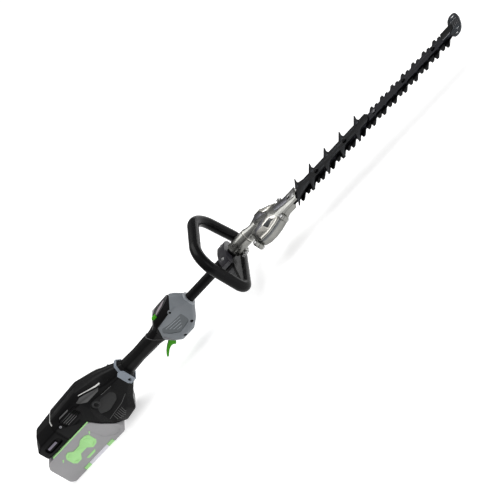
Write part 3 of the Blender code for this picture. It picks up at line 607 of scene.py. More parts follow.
# --- rear housing ---
REAR = ((-586, 14.5, 8, 5, 18.5, -13, 9, -22.5), (-601, 22, 10, 9, 23, -19, 13, -32),
    (-635, 37.5, 12.6, 20, 33, -36, 20, -56), (-655, 45, 15, 30, 38, -56, 24, -79),
    (-706, 58, 20, 40, 42.5, -60, 28, -85), (-804, 53, 22, 38, 42.5, -60, 28, -85))
CAP = ((-808.6, 51.4, 20, 37, 42.5, 3, 41.5, -4.7), (-862, 49.7, 13.5, 36, 42, 3, 41, -4.7),
    (-884, 31, 10, 26, 38, 3, 36, -4.7))
CAP_INSIDE = ((-800, 49, 16, 34, 39.5, 3, 38.5, -1.5), (-860, 46.7, 11, 33, 39, 3, 38, -1.5),
    (-881, 28, 8, 23, 35, 3, 33, -1.5))
BAY_Z = -4.7
BAY_FRONT = ((-741, BAY_Z), (-729, -31), (-697, -74), (-690, -86))
BAY = BAY_FRONT + ((-690, -130), (-1000, -130), (-1000, BAY_Z))
LINER = ((-804, BAY_Z),) + BAY_FRONT + ((-686.5, -85), (-693.5, -72), (-725.5, -29), (-738, BAY_Z + 3),
    (-804, BAY_Z + 3))
RAIL_SLOT = (-1000, -747, -12.5, 12.5, -10, 0)
RAIL_HEAD = (-1000, -747, -16.5, 16.5, -1.9, 3.4)
VENT_SLATS = 5
VENT_GAP = 0.95
VENT_FIELD = ((-780, 48.5), (-743, 48.5), (-737, 20.5), (-775, 20.5))
VENT_RIBS = 5
RIB_LOW = 23.6
RIB_PITCH = 5.5
RIB_SHIFT = 1.1
RIB_WIDTHS = (0.8, 0.8)
BELLY = ((-604, 4), (-622, 8), (-659, 15), (-684, 20.5), (-697, 20.5), (-706, 13), (-714, -2),
    (-723, -31), (-693, -72), (-686, -90), (-600, -90))
BELLY_PANEL = ((-641, -10), (-647, 3.5), (-673, 9), (-697, -2.5), (-705, -17), (-685, -28), (-651, -23))
BELLY_CREASE = ((-631, -31), (-652, -37.5), (-680, -40), (-703, -42))
BELLY_FOLD = ((-632.8, 8.5), (-662.8, 14.5))
NECK_HOLE = (-627.4, 19.8)
BELLY_SLOTS = 6
BELLY_BOSS = (-690.5, 7)
BOSS_PROFILE = ((5.2, -2), (11, -2), (11, 0.7), (9.6, 1.6), (7.4, 1.6), (5.2, 0.2))
NECK_HOLE_SHADE = ((0, -2), (3.2, -2), (3.2, 0.6), (2, 0.1), (0, 0))
SHELL_HOLES = ((-716, 46), (-782, 43))
REAR_SCREW = (-789, 34)
SIDE_SLOT = (-764, -745, 10.5, 15.5)
FACET = ((-652, 30), (-659, 24.5), (-697, 26.5), (-717, 44), (-703, 46))
HIGHLIGHT_LINE = ((-645, 31.5), (-701.5, 49.5))
HIGHLIGHT_LINE_WIDTHS = (0.9, 0.3)


def side_hole(stations, side, at, r, depth):
    """A round cutter into the side of a moulding at (x, z)."""
    x, y, z = on_side(stations, at)
    return disc("y", (x, 0, z), r, *span(side, y - depth, y + 9), 20)


def ribbon(ends, widths):
    """Outline of a strip between two points with its own half width at each end."""
    a, b = (Vector(p) for p in ends)
    off = (b - a).normalized().orthogonal()
    ends = ((a, widths[0]), (b, widths[1]), (b, -widths[1]), (a, -widths[0]))
    return [tuple(p + off * w) for p, w in ends]


PANHEAD_DRIVE = 0.45


def panhead(name, at, side, r, mat):
    """A small crowned screw head with a hexagonal socket, looking out along y."""
    crown = ((0, -3), (r, -3), (r, 0.6), (0.8 * r, 1.3), (0, 1.5))
    head = solid(name, side_turned(side, at, crown, 24))
    drive = PANHEAD_DRIVE * r
    carve(head, side_turned(side, at, ((0, 0.2), (drive, 0.2), (drive, 3), (0, 3)), 6))
    dress(head, mat, slot="bright_steel")


for label, side in SIDES:
    shell = solid("rear_shell_" + label, shell_half(REAR, side))
    carve(shell, prism(BAY, -70, 70, "y"))
    liner_cut = prism(LINER, *span(side, SEAM, 60), "y")
    liner = clip(solid("liner", full_form(REAR, -1.4)), liner_cut)
    fuse(shell, liner)
    carve(shell, block(*RAIL_SLOT))
    grille_low, grille_high = design_box("vent_grille_" + label)
    x0, x1, z0, z1 = grille_low.x, grille_high.x, grille_low.z, grille_high.z
    vent_cut = slot_outline(x0 - 1, x1 + 1, z0 - 1, z1 + 1.2, 4)
    carve(shell, prism(vent_cut, *span(side, 38, 60), "y"))
    carve(shell, plate_on("vent_field", REAR, side, rounded(VENT_FIELD, 3), -1.3, 6))
    for at in SHELL_HOLES:
        carve(shell, side_hole(REAR, side, at, 3, 0.8))
    carve(shell, prism(slot_outline(*SIDE_SLOT, 2), *span(side, 41.2, 60), "y"))
    carve(shell, plate_on("facet_cut", REAR, side, FACET, -0.9, 6))
    dress(shell, BODY, ["housing_" + label], edge=0.5)

    # the facet under the highlight strip in lighter grey: painted light on a face turned to the lamp
    skin_plate("side_lit_facet_" + label, REAR, side, FACET, -1.6, -0.5, LIT_GREY, 0.2)
    # a thin tapered near-white strip along the upper side: a painted highlight on the edge there
    highlight_strip = ribbon(HIGHLIGHT_LINE, HIGHLIGHT_LINE_WIDTHS)
    skin_plate("side_highlight_" + label, REAR, side, highlight_strip, -1, 1.3, PAINTED_HIGHLIGHT, 0.4, "bright_steel")

    # a slotted plate at the bottom of the vent, and ribs over it in a lighter grey that paints
    # highlights on them
    louvre_form = prism(slot_outline(x0, x1, z0, z1, 3.5), *span(side, 39.2, 40.8), "y")
    louvre = solid("vent_louvre_" + label, louvre_form)
    rise = (z1 - z0 - 1.6) / VENT_SLATS
    for k in range(VENT_SLATS - 1):
        z = z0 + 0.8 + rise * (k + 1)
        gap = slot_outline(x0 + 2.5, x1 - 2.5, z - VENT_GAP, z + VENT_GAP, 0.9, 3)
        carve(louvre, prism(gap, *span(side, 30, 50), "y"))
    dress(louvre, BODY, ["vent_grille_" + label], edge=0.35)
    for k in range(VENT_RIBS):
        z = RIB_LOW + RIB_PITCH * k
        shift = RIB_SHIFT * (VENT_RIBS - 1 - k)
        slat = ribbon(((-778 + shift, z), (-746 + shift, z)), RIB_WIDTHS)
        skin_plate(f"vent_slat_{label}_{k}", REAR, side, slat, -3, 0.25, LIT_SLAT_GREY)

    belly = plate_on("belly_cover_" + label, REAR, side, rounded(BELLY, 5), -0.6, 1.5)
    carve(belly, prism(BAY, -70, 70, "y"))
    carve(belly, plate_on("panel_cut", REAR, side, rounded(BELLY_PANEL, 5), 0.7, 6))
    carve(belly, side_hole(REAR, side, BELLY_BOSS, 11.4, 0))
    dress(belly, SHEEN, edge=0.5)
    # the boss in a mid grey, partly a painted highlight on its rim
    boss = side_turned(side, on_side(REAR, BELLY_BOSS), BOSS_PROFILE, 32)
    piece("belly_boss_" + label, boss, BELLY_GREY)
    # lighter lines along the belly's creases: painted highlights on the crease edges
    for k, (a, b) in enumerate([*zip(BELLY_CREASE, BELLY_CREASE[1:]), BELLY_FOLD]):
        crease = ribbon((a, b), (0.7, 0.7))
        skin_plate(f"belly_crease_{label}_{k}", REAR, side, crease, 0.8, 2.1, LIT_GREY)
    # the belly's vent ribs in lighter grey: painted highlights on their faces
    for k in range(BELLY_SLOTS):
        t = k / (BELLY_SLOTS - 1)
        top_end = (-690 + 27 * t, -43 - 0.6 * t)
        low_end = (-693 + 26 * t, -58 - 8 * math.sin(math.pi * t) - 3 * t)
        rib = ribbon((top_end, low_end), RIB_WIDTHS)
        skin_plate(f"belly_rib_{label}_{k}", REAR, side, rib, 0.8, 2.2, LIT_GREY)
    # a black disc at the neck hole: painted shade for the dark hole
    hole_shade = side_turned(side, on_side(REAR, NECK_HOLE), NECK_HOLE_SHADE, 24)
    piece("neck_hole_shade_" + label, hole_shade, BLACK)
    insert = rounded(BELLY_PANEL, 5)
    skin_plate("belly_insert_" + label, REAR, side, insert, 0.2, 1.1, BELLY_GREY)
    # black for the screw in the boss: painted shade for the dark hole there
    panhead("belly_screw_" + label, on_side(REAR, BELLY_BOSS, 1.7), side, 5, BLACK)
    panhead("shell_screw_" + label, on_side(REAR, REAR_SCREW), side, 3.4, PALE_STEEL)

# a near-white band over the upper part of the joint between shell and cap: a painted highlight of the
# shell's end face
trim_stations = [(x,) + CAP[0][1:] for x in (-804.3, -808.3)]
seam_highlight = solid("cap_seam_highlight", full_form(trim_stations, 0.5, 0.1))
carve(seam_highlight, block(-900, -700, -60, 60, -60, 45.5))
dress(seam_highlight, PAINTED_HIGHLIGHT, edge=0.2)
gasket = solid("cap_gasket", full_form(trim_stations, -0.6, 0.1))
carve(gasket, full_form([(x,) + CAP_INSIDE[0][1:] for x in (-800, -812)], -0.5, 0.1))
for box in (RAIL_SLOT, RAIL_HEAD):
    carve(gasket, block(*box))
dress(gasket, BLACK, edge=0.2)

# rear cap with the finger recess of the battery latch
cap = solid("cap_shell", full_form(CAP))
carve(cap, full_form(CAP_INSIDE))
for box in (RAIL_SLOT, RAIL_HEAD):
    carve(cap, block(*box))
low, high = design_box("battery_latch")
x0, x1, z0, z1 = low.x, high.x, low.z, high.z
recess = slot_outline(x0 - 6.5, x1 + 14, z0 - 3, z1 + 3, 9, 6)
carve(cap, prism(recess, -60, -37.4, "y"))
dress(cap, BODY, ["rear_cap"], edge=0.9, segments=3)
well = slot_outline(x0 - 7.5, x1 + 15, z0 - 4, z1 + 4, 9, 6)
piece("latch_well", prism(well, -37.2, -35, "y"), BLACK, edge=0.3)

# latch slider: a dark pad with a ribbed pale strip along its upper half
LATCH_RIBS = 8
pad_form = prism(slot_outline(x0, x1, z0, z1, 4), -39.6, -37.8, "y")
piece("latch_pad", pad_form, BLACK, ["battery_latch"], body="latch", edge=0.4)
strip_line = slot_outline(x0 + 1.5, x1 - 1.5, z1 - 8.5, z1 - 2.5, 2)
strip = solid("latch_strip", prism(strip_line, -40.4, -39.2, "y"))
rib_pitch = (x1 - x0 - 7) / LATCH_RIBS
rib_starts = [x0 + 4 + rib_pitch * k for k in range(LATCH_RIBS)]
carve(strip, gather(block(x, x + 1.6, -45, -39.9, 0, 30) for x in rib_starts))
dress(strip, LILAC_GREY, body="latch", edge=0.25)

# --- battery pack ---
PACK = ((-741.4, -8.4), (-729.6, -31.3), (-703, -67), (-703, -84), (-709, -90), (-896, -90),
    (-905, -80), (-905, -22), (-893, -8.4))
PACK_Y = 44
INLAY = ((-777, -24), (-768.5, -30), (-768.5, -52), (-775, -58), (-790, -60.5), (-800, -49),
    (-822, -49), (-834, -60), (-850, -60), (-856, -52), (-856, -33), (-849, -24.5), (-838, -22.5),
    (-828, -31.5), (-806, -31.5), (-793, -24))
LOBES = ((-781.5, -29.5), (-781.5, -52.5), (-844.5, -29.5), (-844.5, -52.5))
PACK_MARKS = ((-763, -28.3), (-865.5, -30.3))
PACK_FACET = ((-762, -20), (-742, -20), (-712, -64), (-712, -80), (-732, -80), (-752, -62))
GAUGE = ((-825.5, -66.5), (-793, -66.5), (-797, -72), (-821, -72.5))
BASE_STRIP = (-853, -747, -89.4, -80.8)
BASE_END = 20
TOP_STRIP = (-872, -741.6, -43.9, 43.9, -8.3, -5)
RAIL_FORMS = ((-870, -750, -12, 12, -6, 1), (-870, -750, -16, 16, -1.4, 2.9))


def pack_slab(outline, side, low, high):
    """A slab on the pack's side, between two distances out from it."""
    return prism(outline, *span(side, PACK_Y + low, PACK_Y + high), "y")


pack = solid("pack_body", prism(rounded(PACK, 5), -PACK_Y, PACK_Y, "y"))
x0, x1, z0, z1 = BASE_STRIP
for _, side in SIDES:
    carve(pack, prism(rounded(PACK_FACET, 5), *span(side, PACK_Y - 0.7, 60), "y"))
    carve(pack, block(x0 - 1, x1 + 1, *span(side, PACK_Y - 1.5, 60), z0 - 3, z1 + 0.8))
dress(pack, PALE, ["battery_case"], body="battery", edge=2.6, segments=3, angle=40)
top_strip = solid("pack_rail", block(*TOP_STRIP))
for box in RAIL_FORMS:
    fuse(top_strip, block(*box))
dress(top_strip, PALE_GREEN, ["battery_rail"], body="battery", edge=0.5)
FOOT_ENDS = (("rear", (x0, x0 + BASE_END - 0.4)), ("front", (x1 - BASE_END + 0.4, x1)))
for label, side in SIDES:
    inlay = solid("pack_inlay_" + label, pack_slab(rounded(INLAY, 1), side, -0.4, 1.3))
    for x, z in LOBES:
        tilt = 2.5 if (x + 813) * (z + 41) < 0 else -2.5
        groove = ribbon(((x - 5, z - tilt), (x + 5, z + tilt)), (1.1, 1.1))
        carve(inlay, pack_slab(rounded(groove, 1), side, 0.5, 6))
    dress(inlay, PALE_GREEN, ["battery_inlay_" + label], body="battery", edge=0.5)
    for k, (x, z) in enumerate(PACK_MARKS):
        mark = rounded(ribbon(((x - 3.4, z - 2.8), (x + 3.4, z + 2.8)), (0.8, 2)), 0.8)
        piece(f"pack_mark_{label}_{k}", pack_slab(mark, side, -0.4, 0.5), PALE_GREEN,
            body="battery", edge=0.2)
    piece("pack_gauge_" + label, pack_slab(rounded(GAUGE, 2), side, -0.4, 0.5), PALE_GREEN,
        body="battery", edge=0.2)
    middle = (x0 + BASE_END, x1 - BASE_END, *span(side, PACK_Y - 2, PACK_Y - 0.4), z0, z1)
    piece("pack_foot_" + label, block(*middle), PALE_LILAC, body="battery", edge=0.5)
    for end, xs in FOOT_ENDS:
        form = block(*xs, *span(side, PACK_Y - 2, PACK_Y + 0.2), z0, z1)
        piece(f"pack_foot_{end}_{label}", form, PALE_GREEN, body="battery", edge=0.6)

# --- switch housing and rear grip ---
MOULD = ((-357.5, 17, 5, 7, 17, -7, 7, -17), (-367, 30, 8, 12.5, 22.5, -16, 12.5, -25.5),
    (-379, 43, 5.5, 24, 28, -28, 17, -37), (-402, 39, 13, 27, 29.5, -40, 20, -50),
    (-441, 35, 20, 24, 29.5, -40, 20, -50), (-452, 28, 16, 19, 27, -31, 17, -40),
    (-468, 17, 11, 8, 21, -16, 12, -24), (-486, 14, 8, 4, 18, -13, 8, -22),
    (-505, 14, 8, 4, 17.6, -12, 8, -22), (-545, 12.6, 7.5, 3, 16.6, -11, 7.5, -20.6),
    (-585.6, 14.2, 8, 5, 18.3, -13, 9, -22.3))
CORE_EDGE = ((-368, 60), (-375, 44), (-389, 32), (-397, 25), (-447, 19), (-464, -8), (-474, -40))
GRIP_EDGE = ((-529, 50), (-467, -15.2), (-474.4, -40), (-474.4, -60))
GRIP_SEAM = ((-516, 36), (-467.6, -14.5))
GRIP_AREA = GRIP_EDGE + ((-700, -60), (-700, 50))
CORE_AREA = CORE_EDGE[:-1] + ((-466.4, -15.4), (-528, 49.6), (-528, 60))
COVER_AREA = tuple((x + 0.5, z - 0.4) for x, z in CORE_EDGE) + ((-473.5, -70), (-330, -70),
    (-330, 59.6))
LINER_AREA = ((-500, -70), (-366, -70), (-366, 60), (-500, 60))
TRIGGER_SLOT = (-487, -448.5, -6.6, 6.6, -60, -16.5)
BUTTON = (-443, -429.6, -18.6, -8)
COVER_BOSS = (-397.2, 24)
COVER_BOSS_PROFILE = ((0, -2), (5.4, -2), (5.4, 0.4), (4.6, 1.3), (0, 1.3))
COVER_HOLE_SHADE = ((0, -6), (3.8, -6), (3.8, -1.7), (2, -2.3), (0, -2.3))
COVER_HOLES = ((-386.5, -30), (-425, -42))
RECESS = ((-384.6, 3.2), (-386, -19.3), (-391.5, -24), (-424.7, -27.5), (-440.3, -14.1), (-451.4, 1.5),
    (-442.2, 10.9), (-424.1, 5.5), (-411.1, 4.2))
RECESS_BARS = 4
BRIM_REFLECTION_LINE = ((-461.5, -9), (-447.5, -41))
PANEL_XS = (-381, -390, -402, -422, -441, -449.5)
DISPLAY = ((-394, -3.2, -1.4), (-404, -10.6, 0.6), (-414, -13.4, -2), (-424, -15.6, -6),
    (-428, -16.4, -12))
TRIGGER_LINE = ((-446.5, -27), (-450, -23.6), (-455, -24), (-468, -31), (-477, -35.5), (-490, -42),
    (-502, -50), (-509, -57), (-508.5, -60), (-505, -60), (-498, -55), (-489, -49.5), (-480, -46.5),
    (-473.5, -47), (-469, -52), (-465.5, -50.5), (-464.5, -44), (-458, -36.5), (-449, -33.5))
TRIGGER_PIN = (-452, 0, -29)
TUBE_FIT = 11.7


def tube_hole(x0, x1, segs):
    """A cutter that leaves room for the shaft tube."""
    return disc("x", (0, 0, 0), TUBE_FIT, x0, x1, segs)


def mould_part(name, side, outer, inner, outline):
    """Part of one half of the switch moulding, inside an (x, z) outline."""
    form = solid(name, shell_half(MOULD, side, outer, inner))
    return clip(form, prism(outline, *span(side, SEAM, 60), "y"))


button_hole = (BUTTON[0] - 0.4, BUTTON[1] + 0.4, BUTTON[2] - 0.4, BUTTON[3] + 0.4, 25, 60)
for label, side in SIDES:
    core = mould_part("switch_body_" + label, side, -0.3, -2.9, CORE_AREA)
    carve(core, block(*TRIGGER_SLOT))
    if side < 0:
        carve(core, block(*button_hole))
    carve(core, side_hole(MOULD, side, (-462, 10), 2, 2))
    dress(core, BODY, ["switch_core_" + label], edge=0.5)

    liner = mould_part("switch_liner_" + label, side, -3, -4.4, LINER_AREA)
    carve(liner, block(*TRIGGER_SLOT))
    carve(liner, block(*button_hole))
    carve(liner, tube_hole(-410, -340, 40))
    dress(liner, BLACK)

    grip = mould_part("rear_grip_" + label, side, 0, -2.6, GRIP_AREA)
    carve(grip, block(*TRIGGER_SLOT))
    dress(grip, RUBBER, ["grip_" + label], edge=0.6)
    seam = ribbon(GRIP_SEAM, (0.45, 0.45))
    skin_plate("grip_seam_" + label, MOULD, side, seam, -2, 0.5, SEAM_GREY, 0.2)

    cover = mould_part("side_cover_" + label, side, 0.5, -2.4, COVER_AREA)
    carve(cover, tube_hole(-410, -340, 40))
    carve(cover, block(*TRIGGER_SLOT))
    fuse(cover, side_turned(side, on_side(MOULD, COVER_BOSS), COVER_BOSS_PROFILE, 28))
    carve(cover, side_hole(MOULD, side, COVER_BOSS, 3.4, 4.5))
    for at in COVER_HOLES:
        carve(cover, side_hole(MOULD, side, at, 4, 4.5))
    # black discs down in the cover's holes: painted shade so the holes read dark
    for k, at in enumerate((COVER_BOSS,) + COVER_HOLES):
        hole_shade = side_turned(side, on_side(MOULD, at), COVER_HOLE_SHADE, 24)
        piece(f"cover_hole_shade_{label}_{k}", hole_shade, BLACK)
    carve(cover, plate_on("recess_cut", MOULD, side, rounded(RECESS, 3), -0.6, 6))
    dress(cover, GREY, ["switch_cover_" + label], edge=0.7, segments=3)
    recess = rounded(RECESS, 3)
    skin_plate("cover_recess_" + label, MOULD, side, recess, -1.2, -0.5, GREY_DARK, 0)
    for k in range(RECESS_BARS):
        bar = ribbon(((-393 - 5 * k, -1 - 6 * k), (-438 + 5 * k, 3.5 - 7 * k)), (0.9, 0.9))
        skin_plate(f"cover_bar_{label}_{k}", MOULD, side, rounded(bar, 0.8), -0.9, 0.1,
            COLLAR_GREY, 0.25)
    # a pale band along the cover's lower rear chamfer: a painted reflection
    reflection_band = ribbon(BRIM_REFLECTION_LINE, (0.9, 0.9))
    skin_plate("cover_brim_reflection_" + label, MOULD, side, reflection_band, -1, 1, BRIM_REFLECTION)

collar_profile = [(TUBE_FIT, -366), (17.6, -366), (18, -359), (17.4, -355.6), (15.2, -354.6),
    (TUBE_FIT, -354.6)]
piece("tube_collar", turned_form("x", (0, 0, 0), collar_profile, 48), COLLAR_GREY)

# glossy panel on top with a slanted display strip; the strip's pinkish grey and strong pale streaks are
# painted reflections over the display
panel_sections = []
for x in PANEL_XS:
    _, zt, wt = station_at(MOULD, x)[:3]
    w = wt - 0.5
    half = [(w, zt - 0.4), (w, zt + 1.2), (w - 0.5 * min(3, w), zt + 2.2), (0, zt + 2.4)]
    panel_sections.append([(x, y, z) for y, z in half] + [(x, -y, z) for y, z in half[-2::-1]])
panel = solid("top_panel", skin(panel_sections))
carve(panel, block(*button_hole))
dress(panel, PANEL, ["control_panel"], edge=0.5)
display_sections = []
for x, y0, y1 in DISPLAY:
    zt = station_at(MOULD, x)[1]
    low_z, mid_z, high_z = zt + 1.4, zt + 2.5, zt + 2.9
    display_sections.append([(x, y0, low_z), (x, y1, low_z), (x, y1, high_z), (x, y0, mid_z)])
piece("display_strip", skin(display_sections), DISPLAY_REFLECTION, edge=0.3)
cap_form = prism(slot_outline(*BUTTON, 1.5), 33, 39.3, "z")
piece("power_cap", cap_form, GREEN, ["power_button"], body="button", edge=1.1, segments=3)
lever = solid("trigger_lever", prism(rounded(TRIGGER_LINE, 2.2, 2), -5.6, 5.6, "y"))
carve(lever, disc("y", TRIGGER_PIN, 2.4, -20, 20, 20))
dress(lever, GREEN, ["trigger"], body="trigger", edge=1.5, segments=3)

# --- loop handle ---
HANDLE_X = -214
HANDLE_R = 13.1
HANDLE_TOP = (90, 92.2)
HANDLE_LOW = (99, -37.8)
HANDLE_TOP_CORNER = 54
HANDLE_LOW_CORNER = 19
HANDLE_LEAN = 0.07
TUBE_SIDES = 32
CORNER_STEPS = 12
SEAM_SIDES = (5, 11, 21, 27)
SEAM_DEPTH = 0.8
HUB = (-235.5, -207)
CAP_XS = (-230, -206)
WEB_XS = (-212.5, -206.5)
HUB_SCREW = (-218, 25)
HUB_SCREW_PROFILE = ((0, -16), (2.5, -16), (2.5, 15.4), (4.8, 15.4), (4.8, 18), (4, 19), (0, 19))
WEB = ((36, -2), (36, -34), (94, -38), (97, -24), (75, -16), (55, -8))


def lean(z):
    return HANDLE_X - (z - HANDLE_LOW[1]) * HANDLE_LEAN


def loop_line():
    """Rounded trapezoid of the loop's centreline as (y, z), arcs at the corners."""
    corners = ((HANDLE_LOW[0], HANDLE_LOW[1]), (HANDLE_TOP[0], HANDLE_TOP[1]),
        (-HANDLE_TOP[0], HANDLE_TOP[1]), (-HANDLE_LOW[0], HANDLE_LOW[1]))
    radii = (HANDLE_LOW_CORNER, HANDLE_TOP_CORNER, HANDLE_TOP_CORNER, HANDLE_LOW_CORNER)
    line = []
    for i, (corner, radius) in enumerate(zip(corners, radii)):
        here = Vector(corner)
        back = (Vector(corners[i - 1]) - here).normalized()
        ahead = (Vector(corners[(i + 1) % 4]) - here).normalized()
        half = back.angle(ahead) / 2
        reach = radius / math.tan(half)
        centre = here + (back + ahead).normalized() * radius / math.sin(half)
        start = here + back * reach - centre
        end = here + ahead * reach - centre
        turn = math.pi - 2 * half
        for k in range(CORNER_STEPS + 1):
            t = k / CORNER_STEPS
            arm = (start * math.sin((1 - t) * turn) + end * math.sin(t * turn)) / math.sin(turn)
            line.append(centre + arm)
    return line


def loop_form(radius, seams):
    """The loop's tube; seams are the section points that are let in a little."""
    line = loop_line()
    tilt = math.atan(HANDLE_LEAN)
    across = Vector((math.cos(tilt), 0, math.sin(tilt)))
    sections = []
    for i, p in enumerate(line):
        a = line[i - 1]
        b = line[(i + 1) % len(line)]
        along = Vector((lean(b.y) - lean(a.y), b.x - a.x, b.y - a.y)).normalized()
        out = along.cross(across).normalized()
        here = Vector((lean(p.y), p.x, p.y))
        section = []
        for k in range(TUBE_SIDES):
            r = radius - (SEAM_DEPTH if k in seams else 0)
            angle = 2 * math.pi * k / TUBE_SIDES
            section.append(here + r * (math.cos(angle) * out + math.sin(angle) * across))
        sections.append(section)
    return skin(sections, ring=True)


loop = solid("loop_grip", loop_form(HANDLE_R, SEAM_SIDES))
saddle = rounded(((-40, -34), (-40, -0.4), (40, -0.4), (40, -34)), 3)
fuse(loop, prism(saddle, HUB[0], HUB[1], "x"))
for _, side in SIDES:
    fuse(loop, prism([(side * y, z) for y, z in WEB], *WEB_XS, "x"))
carve(loop, tube_hole(-260, -180, 48))
dress(loop, SHEEN, ["loop_handle"], body="handle", angle=30)

cap_line = rounded(((-41, 0.4), (-40, 10), (-29, 19), (0, 22), (29, 19), (40, 10), (41, 0.4)), 7, 5)
clamp = solid("hub_clamp", prism(cap_line, *CAP_XS, "x"))
carve(clamp, tube_hole(-260, -180, 48))
screw_x, screw_y = HUB_SCREW
for _, side in SIDES:
    drill(clamp, screw_x, side * screw_y, 5.6, 15.2, 40, 28)
dress(clamp, CLAMP_GREY, ["handle_clamp"], body="handle", edge=1.6, segments=3)
for label, side in SIDES:
    at = (screw_x, side * screw_y, 0)
    screw = solid("hub_screw_" + label, turned_form("z", at, HUB_SCREW_PROFILE, 28))
    drill(screw, screw_x, side * screw_y, 2.3, 16.4, 30, 6)
    dress(screw, STEEL, ["handle_screw_" + label], body="handle", edge=0.25)
    # pale pads on the hub's sides: painted light on flat faces turned to the lamp
    for tag, z0, z1 in (("upper", 3, 10), ("lower", -29, -7)):
        pad_form = prism(slot_outline(-232, -208, z0, z1, 1.5), *span(side, 37, 41), "y")
        pad = solid(f"hub_pad_{tag}_{label}", pad_form)
        mid = (z0 + z1) / 2
        carve(pad, block(HUB[0] - 5, HUB[1] + 5, *span(side, 40.6, 60), mid - 0.4, mid + 0.4))
        dress(pad, LIT_PAD_GREY, body="handle", edge=0.5)

# --- gear head ---
CRANK_X = -95
SPLIT_Z = -16
NECK_R = 17
PAN_PLAN = ((-141, 20), (-134, 34), (-118, 42), (-96, 43), (-76, 37), (-58, 27), (-40, 22.5),
    (-4, 22.5))
LOW_PLAN = PAN_PLAN[:-1] + ((-18, 22.5),)
LID_PLAN = ((-134, 15, 4.5), (-128, 26, 5), (-116, 33, 5.5), (-97, 34, 5.5), (-80, 27, 2.5),
    (-62, 17, -3), (-40, 15, -6.5), (-10, 14, -9))
EAR_R = 6.6
EAR_HOLE_R = 3
EARS = ((-137, 38, -7), (-137, -38, -7), (-54, 32, -12), (-54, -32, -12))
CHEVRON = ((-61, 27), (-82, 11), (-90, 14), (-101, 33), (-121, 34), (-121, 41), (-97, 42.5),
    (-75, 35.5))
CHEVRON_WINDOW = ((-77, 23), (-71.5, 30), (-91.5, 38.5), (-97.5, 33))
LID_SHADE = ((-123, 17), (-121, 31), (-103.5, 31.5), (-92, 12), (-84, 8.5), (-106, 9))
NOSE_RIB = ((-64, 6.5), (-58, 9), (-27, 12), (-27, -12), (-58, -9), (-64, -6.5))
NOSE_PAD = ((-26.6, 13), (-6, 14), (-6, -14), (-26.6, -13))
NOSE_HOLE = (-22.5, -1.5)
NECK_CONE = ((0, -149.9), (NECK_R, -149.9), (NECK_R, -148), (15.2, -143.5), (13.6, -136),
    (12.8, -126), (12.4, -116), (6, -110.5), (0, -109))
NOSE_SCREW = ((0, -13.8), (3.6, -13.8), (3.6, -11.6), (0, -11.2))


def mirrored_form(levels):
    """A form symmetric in y: each level is one half outline, rear to front."""
    bm = bmesh.new()
    rings = []
    for half in levels:
        left = [bm.verts.new((x, -y, z)) for x, y, z in half]
        right = [bm.verts.new((x, y, z)) for x, y, z in half]
        rings.append((left, right))
    last = len(levels[0]) - 1
    for (left_a, right_a), (left_b, right_b) in zip(rings, rings[1:]):
        for i in range(last):
            bm.faces.new((left_a[i], left_a[i + 1], left_b[i + 1], left_b[i]))
            bm.faces.new((right_a[i], right_a[i + 1], right_b[i + 1], right_b[i]))
        for i in (0, last):
            bm.faces.new((left_a[i], right_a[i], right_b[i], left_b[i]))
    for left, right in (rings[0], rings[-1]):
        for i in range(last):
            bm.faces.new((left[i], left[i + 1], right[i + 1], right[i]))
    bmesh.ops.recalc_face_normals(bm, faces=bm.faces)
    bmesh.ops.triangulate(bm, faces=bm.faces[:])
    return bm


def upper_form(grow):
    skirt = [(x, y + grow, SPLIT_Z + 0.15) for x, y in PAN_PLAN]
    shoulder = [(x, y + grow, -10.5 + 0.4 * grow) for x, y in PAN_PLAN]
    lid = [(x, y + 0.6 * grow, z + grow) for x, y, z in LID_PLAN]
    return mirrored_form((skirt, shoulder, lid))


def lid_plate(name, grow, outline, low=-9.5):
    """A plate that follows the gear lid's surface inside an (x, y) outline."""
    return clip(solid(name, upper_form(grow)), prism(outline, low, 20, "z"))


def shrunk(plan, along, across):
    return [(CRANK_X + (x - CRANK_X) * along, y * across) for x, y in plan]


def level(plan, rear_z, front_z):
    return [(x, y, rear_z if x < -50 else front_z) for x, y in plan]


upper = solid("gear_lid", upper_form(0))
fuse(upper, turned_form("x", (0, 0, 0), NECK_CONE, 48))
for x, y, top in EARS:
    fuse(upper, disc("z", (x, y, 0), EAR_R, SPLIT_Z + 0.4, top, 28))
chamber_half = [(x, y) for x, y in shrunk(PAN_PLAN, 0.9, 0.86) if x < -50]
chamber = chamber_half + [(x, -y) for x, y in chamber_half[::-1]]
drill(upper, CRANK_X, 0, 31, -20, -3.5, 40)
carve(upper, disc("x", (0, 0, 0), 11, -152, -117, 32))
drill(upper, *NOSE_HOLE, 4, -14, 0)
for x, y, _ in EARS:
    drill(upper, x, y, EAR_HOLE_R, -60, 30, 20)
dress(upper, ALU, ["gear_case_upper"], edge=0.8, segments=3)
# the screw deep in the nose hole is black: painted shade so the hole reads dark
nose_form = turned_form("z", (*NOSE_HOLE, 0), NOSE_SCREW, 24)
piece("nose_screw", nose_form, BLACK, slot="bright_steel")

for label, side in SIDES:
    # the chevron ridge in the near-white copy: a painted highlight; its window in the shaded copy:
    # painted shade
    ridge = lid_plate("lid_ridge_" + label, 1.7, rounded(flip(CHEVRON, side), 1.5))
    carve(ridge, prism(flip(CHEVRON_WINDOW, side), -30, 30, "z"))
    dress(ridge, ALU_HIGHLIGHT, edge=0.6)
    window = lid_plate("lid_window_" + label, 0.5, flip(CHEVRON_WINDOW, side))
    dress(window, ALU_DARK, edge=0.2)
    shade = lid_plate("lid_shade_" + label, 0.6, flip(LID_SHADE, side))
    carve(shade, upper_form(-0.6))
    dress(shade, NOSE_ALU, edge=0.3)
nose_rib = lid_plate("nose_rib", 1, NOSE_RIB, -12)
nose_pad = lid_plate("nose_pad", 1, NOSE_PAD, -12)
for form in (nose_rib, nose_pad):
    drill(form, *NOSE_HOLE, 4, -20, 0)
dress(nose_pad, PAD_ALU, edge=0.4)
